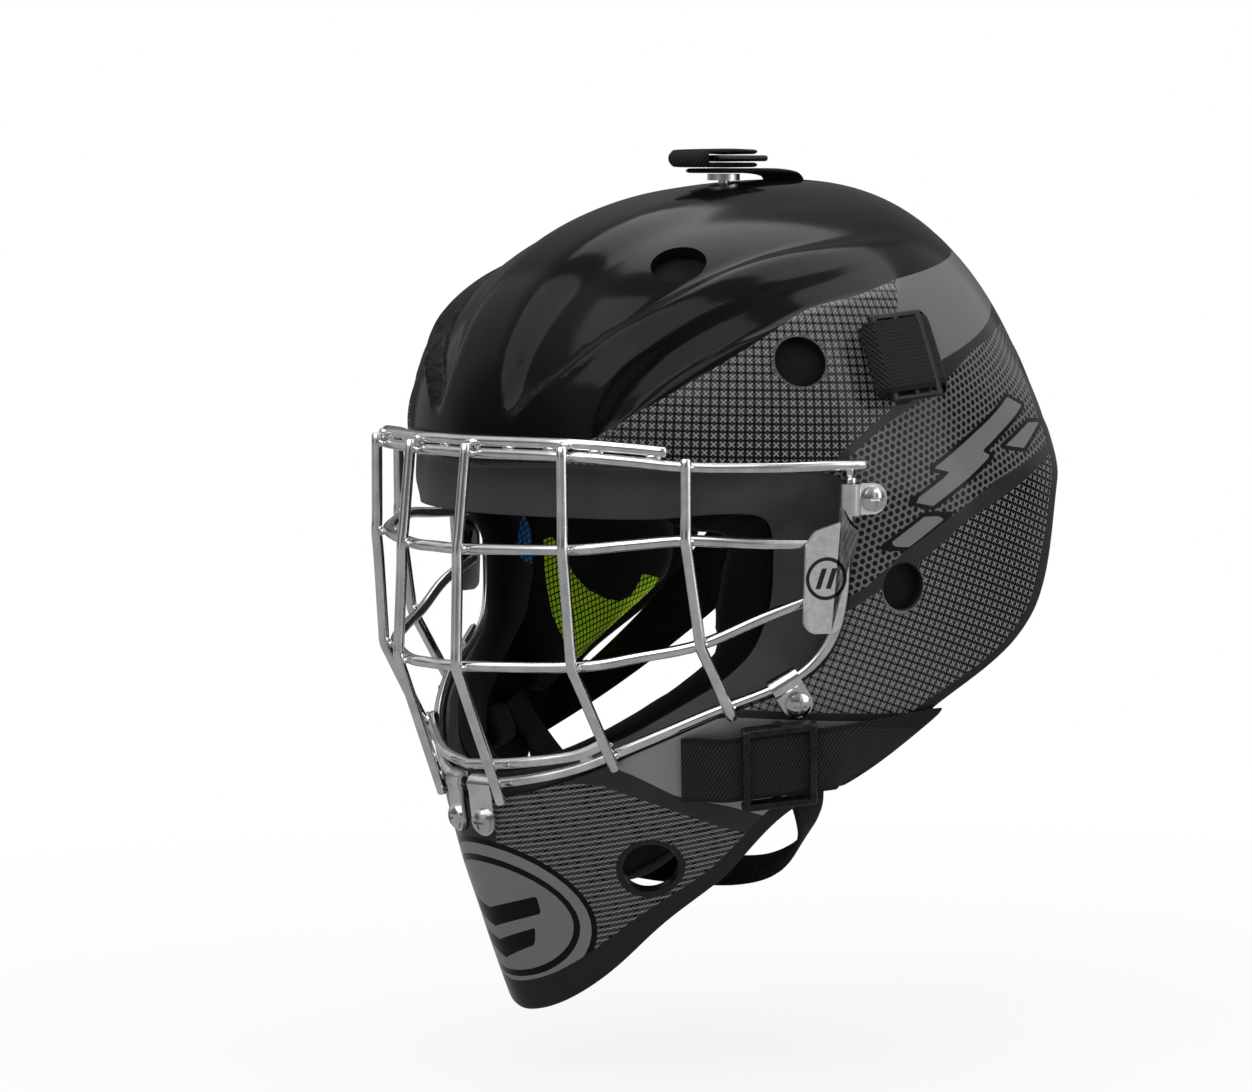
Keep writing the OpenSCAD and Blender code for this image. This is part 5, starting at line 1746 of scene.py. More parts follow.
    def _welds(self, lines: dict[str, list[Array]]) -> Mesh:
        """Beads where two wires meet."""
        every = [(name, line) for name, group in lines.items() for line in group]
        made: Mesh | None = None
        for i, (name, line) in enumerate(every):
            for other_name, other in every[i + 1 :]:
                if name == other_name:
                    continue
                gap = np.linalg.norm(line[:, None] - other[None], axis=2)
                while gap.min() < self.wire_d * 1.22:
                    k, m = np.unravel_index(int(gap.argmin()), gap.shape)
                    along = np.gradient(other, axis=0)[m]
                    spot = bead((line[k] + other[m]) / 2, along, 5.6, 1.5)
                    made = spot if made is None else made.join(spot)
                    near = np.linalg.norm(line - line[k], axis=1) < self.weld_apart
                    gap[near] = np.inf
        return made

    def _plate(self) -> tuple[Array, Array, Array]:
        """Place of the left side plate: a point, up along it, and its normal."""
        p = FORM.face(*self.plate_at)
        n = FORM.out(p)
        y = unit(np.cross(n, [0.0, 0, 1]))
        return p + n * (self.wire_d / 2 + 1.0), np.cross(y, n), n

    def plate(self, side: Side) -> Mesh:
        """Stamped plate with rounded corners and a plain printed mark."""
        h, w = self.plate_h / 2, self.plate_w / 2
        outline = [
            (-h + 2, w),
            (h - 9, w),
            (h - 4, w - 3),
            (h, -w + 1.5),
            (h - 2, -w),
            (4, -w + 0.8),
            (-h + 11, -w + 1.6),
            (-h + 1, -w + 3.2),
            (-h - 1, -w + 6),
            (-h - 1, w - 3),
        ]
        p, x, n = self._plate()
        y = np.cross(n, x)
        shape = bmesh.new()
        bottom = [shape.verts.new(Vector(x * a + y * b)) for a, b in outline]
        face = shape.faces.new(bottom)
        grown = bmesh.ops.extrude_face_region(shape, geom=[face])
        lifted = [v for v in grown["geom"] if isinstance(v, bmesh.types.BMVert)]
        bmesh.ops.translate(shape, verts=lifted, vec=Vector(n * self.plate_t))
        bmesh.ops.recalc_face_normals(shape, faces=shape.faces)

        def rise(e: bmesh.types.BMEdge) -> float:
            """How far an edge runs along the plate's normal, from 0 to 1."""
            return abs(Vector(n).dot((e.verts[0].co - e.verts[1].co).normalized()))

        upright = [e for e in shape.edges if rise(e) > 0.9]
        bmesh.ops.bevel(shape, geom=upright, offset=1.4, segments=4, affect="EDGES", profile=0.5)
        flat = [e for e in shape.edges if rise(e) < 0.1]
        bmesh.ops.bevel(shape, geom=flat, offset=0.35, segments=2, affect="EDGES", profile=0.5)
        shape.verts.ensure_lookup_table()
        local = np.array([v.co for v in shape.verts])
        faces = sorted(from_least([v.index for v in f.verts]) for f in shape.faces)
        shape.free()
        face_at = np.stack([local @ x, local @ y, local @ n], -1)
        return Mesh(local + p, faces, {"face_at": face_at}).on(side)

    def build(self) -> list[bpy.types.Object]:
        """Makes the wires, the welds and the plates."""
        chrome = PolishedWire().material()
        lines = self.lines()
        made = []
        for name, group in lines.items():
            whole: Mesh | None = None
            for line in group:
                wire = tube(line, self.wire_d / 2)
                whole = wire if whole is None else whole.join(wire)
            piece = whole.to_object(f"{name}_polished", [chrome], 50)
            made.append(hang(piece, "helmet", name))
        welds = self._welds(lines).to_object("cage_welds", [chrome], 60)
        made.append(hang(welds, "helmet"))
        plate_finish = BrushedPlate(mark=True).material()
        for side in Side:
            piece = self.plate(side).to_object(f"side_plate_stamped_{side.label}", [plate_finish], 8)
            made.append(hang(piece, "helmet", f"side_plate_{side.label}"))
        LOG.info("cage: %d pieces", len(made))
        return made


# ---- the liner


@dataclass(frozen=True)
class PadShape:
    """A foam pad on the inner skin: a patch of directions, its lead from the skin and its thickness."""

    name: str
    first: tuple[float, float]
    second: tuple[float, float]
    lead: float
    thick: float
    sagittal: bool = False
    grooves: tuple[float, ...] = ()
    lean: float = 0.0
    start: float = 0.0
    top_lean: float = 1.0
    steps: tuple[int, int] = (44, 30)

    def grids(self) -> tuple[Array, Array]:
        """The pad's face towards the head and the face towards the shell."""
        u, v = np.meshgrid(*(np.linspace(-1, 1, n) for n in self.steps), indexing="ij")
        x = self.first[0] + (self.first[1] - self.first[0]) * (u * np.sqrt(1 - 0.16 * v * v) + 1) / 2
        y = self.second[0] + (self.second[1] - self.second[0]) * (v * np.sqrt(1 - 0.16 * u * u) + 1) / 2
        share = (1 - v) / 2 + (1 + v) / 2 * self.top_lean
        y = y + self.lean * share * np.maximum(0, x - self.start)
        if self.sagittal:
            a, b = np.radians(y), np.radians(x)
            d = np.stack([np.sin(b), -np.cos(a) * np.cos(b), np.sin(a) * np.cos(b)], -1)
        else:
            d = direction(x, y)
        p = FORM.sight(d)
        n = FORM.out(p)
        swell = np.sqrt(np.maximum(0, (1 - np.abs(u) ** 6) * (1 - np.abs(v) ** 6)))
        dip = np.zeros(u.shape)
        for g in self.grooves:
            dip = np.maximum(dip, np.exp(-(((u - g) / 0.06) ** 2)))
        seam = np.exp(-(((np.maximum(np.abs(u), np.abs(v)) - 0.93) / 0.018) ** 2))
        thick = self.thick * (0.3 + 0.7 * swell) * (1 - 0.35 * dip) - 0.5 * seam
        return p - n * (self.lead + thick)[..., None], p - n * self.lead


@dataclass
class Liner:
    """Foam pads in knitted covers, and the printed pattern on the cheek pads."""

    side_t: float = 14.0
    pad_t: float = 12.0
    rest_gap: float = 0.3
    vents: tuple[Point, ...] = ((87, -7, 16), (67.7, 31, 18), (42, 51.6, 20))
    chevron: tuple[Point, ...] = (
        (14.4, 20.0), (19.4, 19.6), (24.6, 11.8), (30.1, 1.4), (36.7, -6.7), (45.4, -13.1),
        (52.6, -16.3), (58.9, -16.1), (62.5, -12.2), (64.3, -9.0), (74.6, -13.9), (72.1, -19.1),
        (66.5, -28.1), (58.1, -38.0), (45.7, -41.0), (32.2, -40.3), (26.9, -34.1), (22.3, -28.5),
        (18.1, -16.8), (16.0, -9.8),
    )

    def shapes(self) -> list[PadShape]:
        """The middle pads, and the left one of each pair."""
        deep = FORM.wall + FORM.flute_depth + self.rest_gap
        near = FORM.wall + self.rest_gap
        return [
            PadShape("forehead_pad", (-50, 50), (17, 40), deep, self.pad_t, grooves=(-0.36, 0.36)),
            PadShape("crown_pad", (-30, 30), (55, 96), deep, self.pad_t, sagittal=True),
            PadShape("temple_pad", (86, 116), (5, 21), near, self.side_t),
            PadShape(
                "cheek_pad", (76, 117), (-35.5, 3), near, self.side_t,
                lean=0.62, start=82, top_lean=0, steps=(80, 56),
            ),
            PadShape("jaw_pad", (50, 63), (-43, -36), near, 8, steps=(30, 20)),
            PadShape("chin_pad", (-26, 26), (-55, -47), near, 8, steps=(50, 18)),
        ]

    def _chevron(self, mesh: Mesh) -> Array:
        """How far each point of a cheek pad lies inside its printed chevron, in mm."""
        inside = distance_to_outline(mesh.kept["run"][:, :2], self.chevron)
        return np.where(np.arange(len(inside)) < len(inside) * 0.48, inside, -9)

    def _vent_foam(self, side: Side) -> Mesh:
        """Thin foam discs behind the vents of one side."""
        whole: Mesh | None = None
        w = np.radians(np.arange(40) * 9)
        for bearing, rise, diameter in self.vents:
            p = FORM.face(bearing, rise)
            n = FORM.out(p)
            x = unit(np.cross(n, [0.2, 0.3, 0.9]))
            circle = np.cos(w)[:, None] * x + np.sin(w)[:, None] * np.cross(n, x)
            deep = FORM.wall + 0.6 + (FORM.flute_depth if rise > 40 else 0)
            r = diameter / 2 + 3
            profile = ((0.5, 0), (0.96, 0), (1, 0.5), (1, 2.5), (0.96, 3), (0.5, 3))
            rings = [p - n * (deep + h) + circle * r * q for q, h in profile]
            faces = grid_faces(len(rings), 40, round_columns=True)
            faces += [tuple(reversed(range(40))), tuple(range(200, 240))]
            disc = Mesh(np.concatenate(rings), faces, {"run": np.concatenate([ring - p for ring in rings])})
            whole = disc if whole is None else whole.join(disc)
        return whole.on(side)

    def build(self) -> list[bpy.types.Object]:
        """Makes the pads on both sides."""
        plain = LinerCloth("liner_knit").material()
        cheek = LinerCloth("liner_knit_printed", print_colour=PRINT_LIME).material()
        chin = LinerCloth("chin_foam", 46, 66).material()
        made = []
        for shape in self.shapes():
            front, back = shape.grids()
            mesh = slab_mesh(front, back)
            paired = shape.name in ("temple_pad", "cheek_pad", "jaw_pad")
            if shape.name == "cheek_pad":
                mesh.kept["print_zone"] = self._chevron(mesh)
            finish = cheek if shape.name == "cheek_pad" else chin if shape.name == "chin_pad" else plain
            for side in Side if paired else (Side.LEFT,):
                node = f"{shape.name}_{side.label}" if paired else shape.name
                piece = mesh.on(side).to_object(f"{node}_soft", [finish], 60)
                made.append(hang(piece, "helmet", node))
        for side in Side:
            piece = self._vent_foam(side).to_object(f"vent_foam_{side.label}", [plain], 60)
            made.append(hang(piece, "helmet"))
        LOG.info("liner: %d pads", len(made))
        return made


@dataclass
class OpeningRoll:
    """Soft edging of the liner, behind the turned-in sides of the face opening."""

    thick: float = 9.0
    behind: float = 7.0
    middle: tuple[float, float] = (33.0, -13.0)
    columns: int = 150
    tab: tuple[float, float, float] = (-27.0, 10.0, 9.0)
    widths: tuple[tuple[float, float], ...] = (
        (0.13, -1.5), (0.16, 5), (0.2, 10), (0.26, 13), (0.32, 15), (0.38, 17), (0.5, 17), (0.57, 14),
        (0.64, 7), (0.72, 4.5), (0.85, 3.5), (0.97, 3.5),
    )

    def mesh(self) -> Mesh:
        """The left half, a rounded strip whose run follows the opening."""
        shell = Shell()
        s = np.linspace(self.widths[0][0], self.widths[-1][0], self.columns)
        edge = FORM.sight(FORM.rim(s, 0))
        n = FORM.out(edge)
        inward = FORM.face(*self.middle) - edge
        inward = unit(inward - n * np.sum(inward * n, -1)[:, None])
        turned = shell.turn_in * np.interp(s, *np.array(shell.turn).T)
        deep = FORM.inner_drop + FORM.wall + 0.3 + turned
        w, t = np.interp(s, *np.array(self.widths).T), self.thick
        section = [(-self.behind, 1.0), (-self.behind, t * 0.7), (-self.behind + 2, t)]
        loop = [(np.full(len(s), x), y) for x, y in section]
        loop += [(w - 2.4, t), (w - 0.7, t - 1.6), (w, t * 0.5), (w - 0.6, 1.2), (w - 2.0, 0.0)]
        loop += [(np.minimum(x, w - 2.0 - gap), 0.1) for x, gap in ((9.4, 0.3), (8.6, 0.6), (0.0, 1.0))]
        rings = np.stack([edge + inward * a[:, None] - n * (deep + h)[:, None] for a, h in loop], 1)
        count = len(loop)
        length = np.concatenate([[0], np.cumsum(np.linalg.norm(np.diff(edge, axis=0), axis=1))])
        around = np.array([0, 6, 9, 22, 25, 29, 34, 36, 40, 41, 50], float)
        run = np.stack(np.broadcast_arrays(length[:, None], around[None, :], 0.0), -1)
        faces = grid_faces(len(s), count, round_columns=True)
        faces += [tuple(reversed(range(count))), tuple(range((len(s) - 1) * count, len(s) * count))]
        reach = np.stack([a for a, _ in loop], 1)
        tab = np.minimum(self.tab[1] - np.abs(rings[..., 2] - self.tab[0]), self.tab[2] - reach)
        made = Mesh(rings.reshape(-1, 3), faces, {"run": run.reshape(-1, 3), "print_zone": tab.reshape(-1)})
        a, b, c = (made.points[made.faces[0][k]] for k in range(3))
        if np.cross(b - a, c - a) @ (a - rings[0].mean(axis=0)) < 0:
            made.faces = [tuple(reversed(f)) for f in made.faces]
        return made

    def build(self) -> list[bpy.types.Object]:
        """Makes the strip on both sides."""
        felt = LinerCloth("edge_felt", 3, 12, 0.7).material()
        tabbed = LinerCloth("edge_felt_tabbed", 3, 12, 0.7, print_colour=PRINT_BLUE).material()
        made = []
        for side in Side:
            finish = tabbed if side is Side.RIGHT else felt
            piece = self.mesh().on(side).to_object(f"opening_roll_{side.label}", [finish], 60)
            made.append(hang(piece, "helmet"))
        LOG.info("opening roll: both sides")
        return made


# ---- rear panel, straps and adjusters


@dataclass
class RearPanel:
    """Curved plate behind the head, hung on the five straps, with its pad."""

    angle: float = 60.0
    height: float = 100.0
    thick: float = 3.5
    middle_z: float = -5.0
    tuck_in: float = 12.0
    upper_z: float = 22.0
    lower_z: float = -34.0
    slot_w: float = 4.0
    slot_length: float = 28.0
    slot_in: float = 6.0
    slot_in_top: float = 9.0
    pad_t: float = 10.0
    set_in: float = 20.0
    skirt: float = 30.0

    def at(self, a: Array, z: Array, off: Array) -> Array:
        """Point of the plate at a bearing from the back in degrees, a height and an offset."""
        a, z, off = np.broadcast_arrays(*(np.asarray(q, float) for q in (a, z, off)))
        a = np.radians(a)
        tuck = self.tuck_in * ((z - self.middle_z) / (self.height / 2)) ** 2
        return np.stack(
            [
                (FORM.back_reach + 2 - 0.6 * tuck + off) * np.sin(a),
                2 - self.set_in + (FORM.back_reach + 18 - tuck + off) * np.cos(a),
                z,
            ],
            -1,
        )

    def side_at(self, z: float) -> float:
        """Bearing of the plate's side edge at a height."""
        v = min(max((z - self.middle_z) / (self.height / 2 * math.sqrt(0.8)), -1), 1)
        return self.angle * math.sqrt(1 - 0.3 * v * v)

    def hold(self, z: float, width: float, count: int) -> Array:
        """Points across the end of a strap that the panel holds at its side edge."""
        ends = [self.at(self.side_at(q) + 1.7, q, -self.thick / 2) for q in (z + width / 2, z - width / 2)]
        return between(*ends, count)

    def _patch(
        self, share: float, height: float, off: float, thick: float, steps: tuple[int, int], skirt: float = 0
    ) -> Mesh:
        """A curved patch of the plate's form, with a skirt below it."""
        u, v = np.meshgrid(np.linspace(-1, 1, steps[0]), np.linspace(-1, 1, steps[1]), indexing="ij")
        a = self.angle * share * u * np.sqrt(1 - 0.3 * v * v)
        z = self.middle_z + height / 2 * v * np.sqrt(1 - 0.2 * u * u)
        swell = np.sqrt(np.maximum(0, (1 - np.abs(u) ** 6) * (1 - np.abs(v) ** 6)))
        t = thick * (0.35 + 0.65 * swell) if thick > 5 else np.full(u.shape, thick)
        down = (skirt * ease(-v))[..., None] * -UP
        return slab_mesh(self.at(a, z, off) + down, self.at(a, z, off - t) + down, 0.7)

    def build(self) -> list[bpy.types.Object]:
        """Makes the plate with its slots, and its pad."""
        finish = MouldedPlastic("rear_panel_plastic", 16, 24, 0.5, 1.2, 0.05, 0.3, 0.3).material()
        plate = self._patch(1, self.height, 0, self.thick, (60, 44))
        plate = plate.to_object("rear_panel_moulded", [finish, finish], 35)
        cutter = Cutter(finish)
        top = self.at(0, self.middle_z + self.height / 2 - self.slot_in_top, 0)
        cutters = [cutter.slot("slot_a", top, BACK, RIGHT, self.slot_length, self.slot_w)]
        for number, z in enumerate((self.upper_z, self.lower_z)):
            a = self.side_at(z) - self.slot_in
            for side in Side:
                p = side.place(self.at(a, z, 0))
                axis = side.place(np.array([math.sin(math.radians(a)), math.cos(math.radians(a)), 0]))
                name = f"slot_{number}_{side.label}"
                cutters.append(cutter.slot(name, p, axis, UP, self.slot_length, self.slot_w))
        hang(punched(plate, cutters), "back_panel", "backplate")
        pad = self._patch(0.97, self.height * 0.84, -self.thick - 0.8, self.pad_t, (50, 36), self.skirt)
        pad_piece = pad.to_object("rear_pad_soft", [LinerCloth("rear_pad_knit").material()], 60)
        hang(pad_piece, "back_panel", "backplate_pad")
        LOG.info("rear panel: plate and pad")
        return [plate, pad_piece]


REAR = RearPanel()


def ring_at(p: Point, along: Point, normal: Point, offsets: Array) -> Array:
    """A row of points across a flat strap.

    Args:
        p: the strap's middle.
        along: its direction.
        normal: its outward normal.
        offsets: where the points lie across it.

    Returns:
        The row.
    """
    a = unit(np.cross(np.asarray(along, float), np.asarray(normal, float)))
    return np.asarray(p, float) + a * np.asarray(offsets)[:, None]


def between(a: Array, b: Array, count: int) -> Array:
    """Points from a to b, both included."""
    t = np.linspace(0, 1, count)[:, None]
    return np.asarray(a) * (1 - t) + np.asarray(b) * t


def bar(length: float, wide: float, high: float, corner: float, at: Point = (0, 0, 0)) -> Mesh:
    """A bar along its second axis with rounded long edges and slightly rounded ends."""
    shape = bmesh.new()
    bmesh.ops.create_cube(shape, size=1.0)
    for v in shape.verts:
        v.co = Vector((v.co.x * wide + at[0], v.co.y * length + at[1], v.co.z * high + at[2]))
    bmesh.ops.bevel(shape, geom=list(shape.edges), offset=corner, segments=4, affect="EDGES", profile=0.5)
    points = np.array([v.co for v in shape.verts])
    shape.verts.ensure_lookup_table()
    faces = [tuple(v.index for v in f.verts) for f in shape.faces]
    shape.free()
    return Mesh(points, faces)


def set_in(mesh: Mesh, p: Array, x: Array, n: Array) -> Mesh:
    """A mesh written in its own axes, placed at p with its x along x and its z along n."""
    z = unit(n)
    y = unit(np.cross(z, x))
    u = np.cross(y, z)
    return Mesh(p + mesh.points @ np.array([u, y, z]), mesh.faces, mesh.kept, mesh.material_of)


@dataclass
class Straps:
    """Elastic straps between the shell and the rear panel, with their adjusters."""

    web_t: float = 1.8
    lower_w: float = 26.0
    upper_w: float = 26.0
    top_w: float = 24.0
    bar_t: float = 2.2
    gap: float = 0.4
    travel: float = 5.0
    lower_l: float = 27.0
    upper_l: float = 23.0
    lower_at: tuple[float, float] = (64.2, -36.6)
    upper_at: tuple[float, float] = (87.0, 30.8)
    cross: tuple[float, float] = (0.6, 0.69)

    def lower_frame(self) -> tuple[Array, Array, Array]:
        """Middle, direction and normal of the lower strap at its adjuster."""
        n = FORM.out(FORM.face(*self.lower_at))
        d = FORM.face(74, -35.2) - FORM.face(55, -36.6)
        height = self.web_t / 2 + self.bar_t + self.gap + 1.2
        return FORM.stand(*self.lower_at, height), unit(d - n * (d @ n)), n

    def lower(self) -> Array:
        """Rows of the left lower strap, from its sewn end to the rear panel."""
        k = 7
        ts = np.linspace(-0.5, 0.5, k) * self.lower_w
        mid, g, n0 = self.lower_frame()
        room = self.lower_l / 2 + self.travel + 1.5
        p = FORM.sight(FORM.rim(np.linspace(*self.cross, k), 2))
        n = FORM.out(p)
        step = np.array([p[min(i + 1, k - 1)] - p[max(i - 1, 0)] for i in range(k)])
        past_way = unit(np.cross(n, step))
        lift = self.web_t / 2 + 0.9
        past = self.web_t / 2 + 1
        base = self.web_t / 2 + 0.3
        rows = [
            ring_at(FORM.stand(45.2, -37.6, base + 0.4), g, n0, ts),
            ring_at(FORM.stand(48, -37.4, base + 1.1), g, n0, ts),
        ]
        rows += [ring_at(mid + g * room * q, g, n0, ts) for q in (-0.98, -0.5, 0, 0.5, 1)]
        last = rows[-1]
        at_edge = p + n * lift
        for q in (0.33, 0.66):
            m = last * (1 - q) + at_edge * q
            on = FORM.sight(unit(m - FORM.centre))
            out = FORM.out(on)
            height = np.sum((m - on) * out, -1)
            rows.append(m + out * np.maximum(0, lift - height)[:, None])
        inside = p + past_way * past * 1.1 - n * (FORM.wall + 2)
        rows += [at_edge, p + n * lift * 0.6 + past_way * past * 0.8, p + past_way * past - n * 1.5, inside]
        target = REAR.hold(REAR.lower_z, self.lower_w, k)
        for q in (0.2, 0.4, 0.6, 0.8):
            rows.append(inside * (1 - q) + target * q - np.array([0, 0, 12 * q * (1 - q)]))
        rows.append(target)
        return np.array(rows)

    def under_shell(self, way: Sequence[Point], offsets: Array) -> list[Array]:
        """Rows of a strap along the inside of the shell.

        Args:
            way: bearing, elevation and depth under the inside of each row.
            offsets: where the points lie across the strap.

        Returns:
            The rows.
        """
        faces = [FORM.face(bearing, rise) for bearing, rise, _ in way]
        outs = [FORM.out(p) for p in faces]
        middle = [p - n * (FORM.wall + self.web_t / 2 + row[2]) for p, n, row in zip(faces, outs, way)]
        last = len(way) - 1
        steps = [middle[min(i + 1, last)] - middle[max(i - 1, 0)] for i in range(len(way))]
        return [ring_at(p, unit(step), n, offsets) for p, step, n in zip(middle, steps, outs)]

    def upper_frame(self) -> tuple[Array, Array, Array]:
        """Middle, direction and normal of the upper strap at its adjuster."""
        n = FORM.out(FORM.face(*self.upper_at))
        d = FORM.face(*Shell.upper_slot) - FORM.face(78, 31)
        return FORM.stand(*self.upper_at, 0.5 + self.web_t / 2 + 1.6), unit(d - n * (d @ n)), n

    def upper(self) -> Array:
        """Rows of the left upper strap, through its slot to the rear panel."""
        k = 5
        ts = np.linspace(-0.5, 0.5, k) * self.upper_w
        mid, g0, n0 = self.upper_frame()
        b, c = Shell.upper_slot
        n1 = FORM.out(FORM.face(b, c))
        g1 = unit(g0 - n1 * (g0 @ n1))
        rows = [ring_at(mid + g0 * q, g0, n0, ts) for q in (-13, -2, 8)]
        rows += [
            ring_at(FORM.stand(b - 2.2, c, self.web_t / 2 + 1.9), g1, n1, ts),
            ring_at(FORM.stand(b + 0.1, c, self.web_t / 2 + 0.7), unit(g1 - n1), unit(g1 + n1), ts),
            ring_at(FORM.stand(b + 0.1, c, -FORM.wall / 2), -n1, g1, ts),
            ring_at(FORM.stand(b + 0.6, c, -FORM.wall - 2), unit(g1 - n1), unit(g1 + n1), ts),
        ]
        way = ((4, -0.8, 2.2), (8, -2.2, 4), (12, -4.6, 7.5), (15.5, -7.5, 12.5))
        rows += self.under_shell([(b + turn, c + rise, depth) for turn, rise, depth in way], ts)
        rows.append(REAR.hold(REAR.upper_z, self.upper_w, k))
        return np.array(rows)

    def top_z(self) -> float:
        """Height of the top strap's middle over the stud."""
        p = FORM.sight(unit(np.array([0, Shell.stud_y + 6, FORM.crown_z - 2]) - FORM.centre))
        return float(p[2]) + 0.25 + 2.4 + 0.3 + self.web_t / 2

    def top(self) -> Array:
        """Rows of the top strap, through its slot and under the crown to the rear panel."""
        k = 5
        ts = np.linspace(-0.5, 0.5, k) * self.top_w
        up, y, z0 = UP, Shell.top_slot_y, FORM.crown_z
        rows = [ring_at([0, q, self.top_z()], [0, 1, 0], up, ts) for q in (-32, -20, -6)]
        rows += [
            ring_at([0, y - 3.4, z0 + self.web_t / 2 + 1.2], unit([0, 1, -0.25]), up, ts),
            ring_at([0, y - 1, z0 + 0.6], unit([0, 1, -1]), unit([0, 1, 1]), ts),
            ring_at([0, y, z0 - FORM.wall / 2], [0, 0, -1], [0, 1, 0], ts),
            ring_at([0, y + 0.8, z0 - FORM.wall - 1.6], unit([0, 1, -1]), unit([0, 1, 1]), ts),
            ring_at([0, y + 4, z0 - FORM.wall - 4], unit([0, 1, -0.2]), up, ts),
        ]
        rows += self.under_shell([(180, rise, 2.9) for rise in (74, 66, 59)], ts)
        z = REAR.middle_z + REAR.height / 2
        rows += [
            ring_at(REAR.at(0, z + 8, -REAR.thick / 2) + [0, 1.5, 0], [0, 0, -1], [0, 1, 0], ts),
            ring_at(REAR.at(0, z + 1, -REAR.thick / 2), [0, 0, -1], [0, 1, 0], ts),
        ]
        return np.array(rows)

    def flat_glide(self, length: float, width: float) -> Mesh:
        """Frame with a middle bar, lying on the strap. Its x runs along the strap."""
        bar_w, rail = 3.4, 2.4
        wide = width + 2 * rail + 1.2
        z = self.bar_t / 2
        mesh = bar(wide, bar_w, self.bar_t, 0.95, (-(length - bar_w) / 2, 0, z))
        mesh = mesh.join(bar(wide, bar_w, self.bar_t, 0.95, ((length - bar_w) / 2, 0, z)))
        mesh = mesh.join(bar(wide - 2, bar_w - 0.4, self.bar_t - 0.2, 0.9, (0, 0, z)))
        for y in (-1, 1):
            mesh = mesh.join(bar(rail, length - 1.2, self.bar_t - 0.1, 0.95, (0, y * (wide - rail) / 2, z)))
        return mesh

    def ladder_glide(self, length: float, width: float) -> Mesh:
        """Ladder adjuster: outer bars over the strap, middle bar under it, side rails."""
        rail, over = 3.0, self.web_t / 2 + self.gap
        wide = width + 2 * rail
        t = self.bar_t
        mesh = bar(wide, t + 0.6, t, 0.95, (-(length - t - 1) / 2, 0, over + t / 2))
        mesh = mesh.join(bar(wide, t + 0.6, t, 0.95, ((length - t - 1) / 2, 0, over + t / 2)))
        mesh = mesh.join(bar(wide, t + 1.2, t - 0.1, 0.95, (0, 0, -over - t / 2)))
        for y in (-1, 1):
            at = (0, y * (width / 2 + self.gap + rail / 2), t * 0.4)
            mesh = mesh.join(bar(rail - 0.2, length, 2 * over + t, 1.2, at))
        return mesh

    def folded_end(self, l0: float, l1: float, width: float) -> Mesh:
        """Strap end folded round an adjuster's bar, sewn onto itself. Its x runs along the strap."""
        t, r = self.web_t, (self.bar_t + 2 * self.gap) / 2
        line = [(l1, t / 2), ((l0 + l1) / 2, t / 2), (l0, t / 2)]
        for a in np.radians((-60, -30, 0, 30, 60)):
            line.append((l0 - (r + t / 2) * math.cos(a), t + r + (r + t / 2) * math.sin(a)))
        line += [(l0, 1.5 * t + 2 * r), ((l0 + l1) / 2, 1.5 * t + 2 * r + 0.25), (l1, 1.5 * t + 2 * r)]
        ts = np.linspace(-0.5, 0.5, 5) * width
        rows = np.array([[(x, y, z) for y in ts] for x, z in line])
        return strap_mesh(rows, t, 4, 4)

    def build(self) -> list[bpy.types.Object]:
        """Makes the straps and their adjusters."""
        lower_web = Webbing("lower_webbing", half_width=self.lower_w / 2).material()
        upper_web = Webbing("upper_webbing", pitch=1.3, half_width=self.upper_w / 2).material()
        top_web = Webbing("top_webbing", pitch=1.3, half_width=self.top_w / 2).material()
        frame = MouldedPlastic("adjuster_black", 8, 14, 0.24, 1.0, 0.015, 0.5, 0.3).material()
        made = []

        def put(mesh: Mesh, name: str, finish: bpy.types.Material, body: str, node: str) -> None:
            """Makes one piece and hangs it on its body."""
            made.append(hang(mesh.to_object(name, [finish], 45), body, node))

        def put_bending(
            mesh: Mesh, name: str, finish: bpy.types.Material, node: str, start: Array, end: Array
        ) -> None:
            """Makes one strap between the shell and the rear panel, bakes its transform and hides the node it
            stands for.
            """
            piece = mesh.to_object(name, [finish], 45)
            Vector(start * MM)
            Vector(end * MM)
            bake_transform(piece)
            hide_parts(node)
            made.append(piece)

        lower_rows, upper_rows, top_rows = self.lower(), self.upper(), self.top()
        lower = strap_mesh(lower_rows, self.web_t, 6, 5)
        upper = strap_mesh(upper_rows, self.web_t, 6, 6)
        lower_free, upper_free = lower_rows[[12, -1]].mean(axis=1), upper_rows[[7, -1]].mean(axis=1)
        mid, g, n = self.lower_frame()
        lower_glide = set_in(self.ladder_glide(self.lower_l, self.lower_w + 0.6), mid, g, n)
        umid, ug, un = self.upper_frame()
        base = umid + un * (self.web_t / 2 + 0.3)
        start = -self.upper_l / 2 - 0.5
        upper_glide = self.flat_glide(self.upper_l, self.upper_w)
        upper_glide = set_in(upper_glide, base + un * (self.web_t + self.gap), ug, un)
        upper_end = set_in(self.folded_end(start, self.upper_l / 2 - 4, self.upper_w), base, ug, un)
        for side in Side:
            s = side.label
            ends = [side.place(p) for p in lower_free]
            put_bending(lower.on(side), f"lower_webbing_{s}", lower_web, f"lower_strap_{s}", *ends)
            ends = [side.place(p) for p in upper_free]
            put_bending(upper.on(side), f"upper_webbing_{s}", upper_web, f"upper_strap_{s}", *ends)
            body, slot = f"lower_adjuster_{s}", "adjuster_plastic"
            put(lower_glide.on(side), f"lower_ladder_{s}", frame, body, f"lower_glide_{s}")
            body = f"upper_adjuster_{s}"
            put(upper_glide.on(side), f"upper_frame_{s}", frame, body, f"upper_glide_{s}")
            node = f"upper_strap_end_{s}"
            put(upper_end.on(side), f"upper_fold_{s}", upper_web, body, node)
        ends = top_rows[[8, -2]].mean(axis=1)
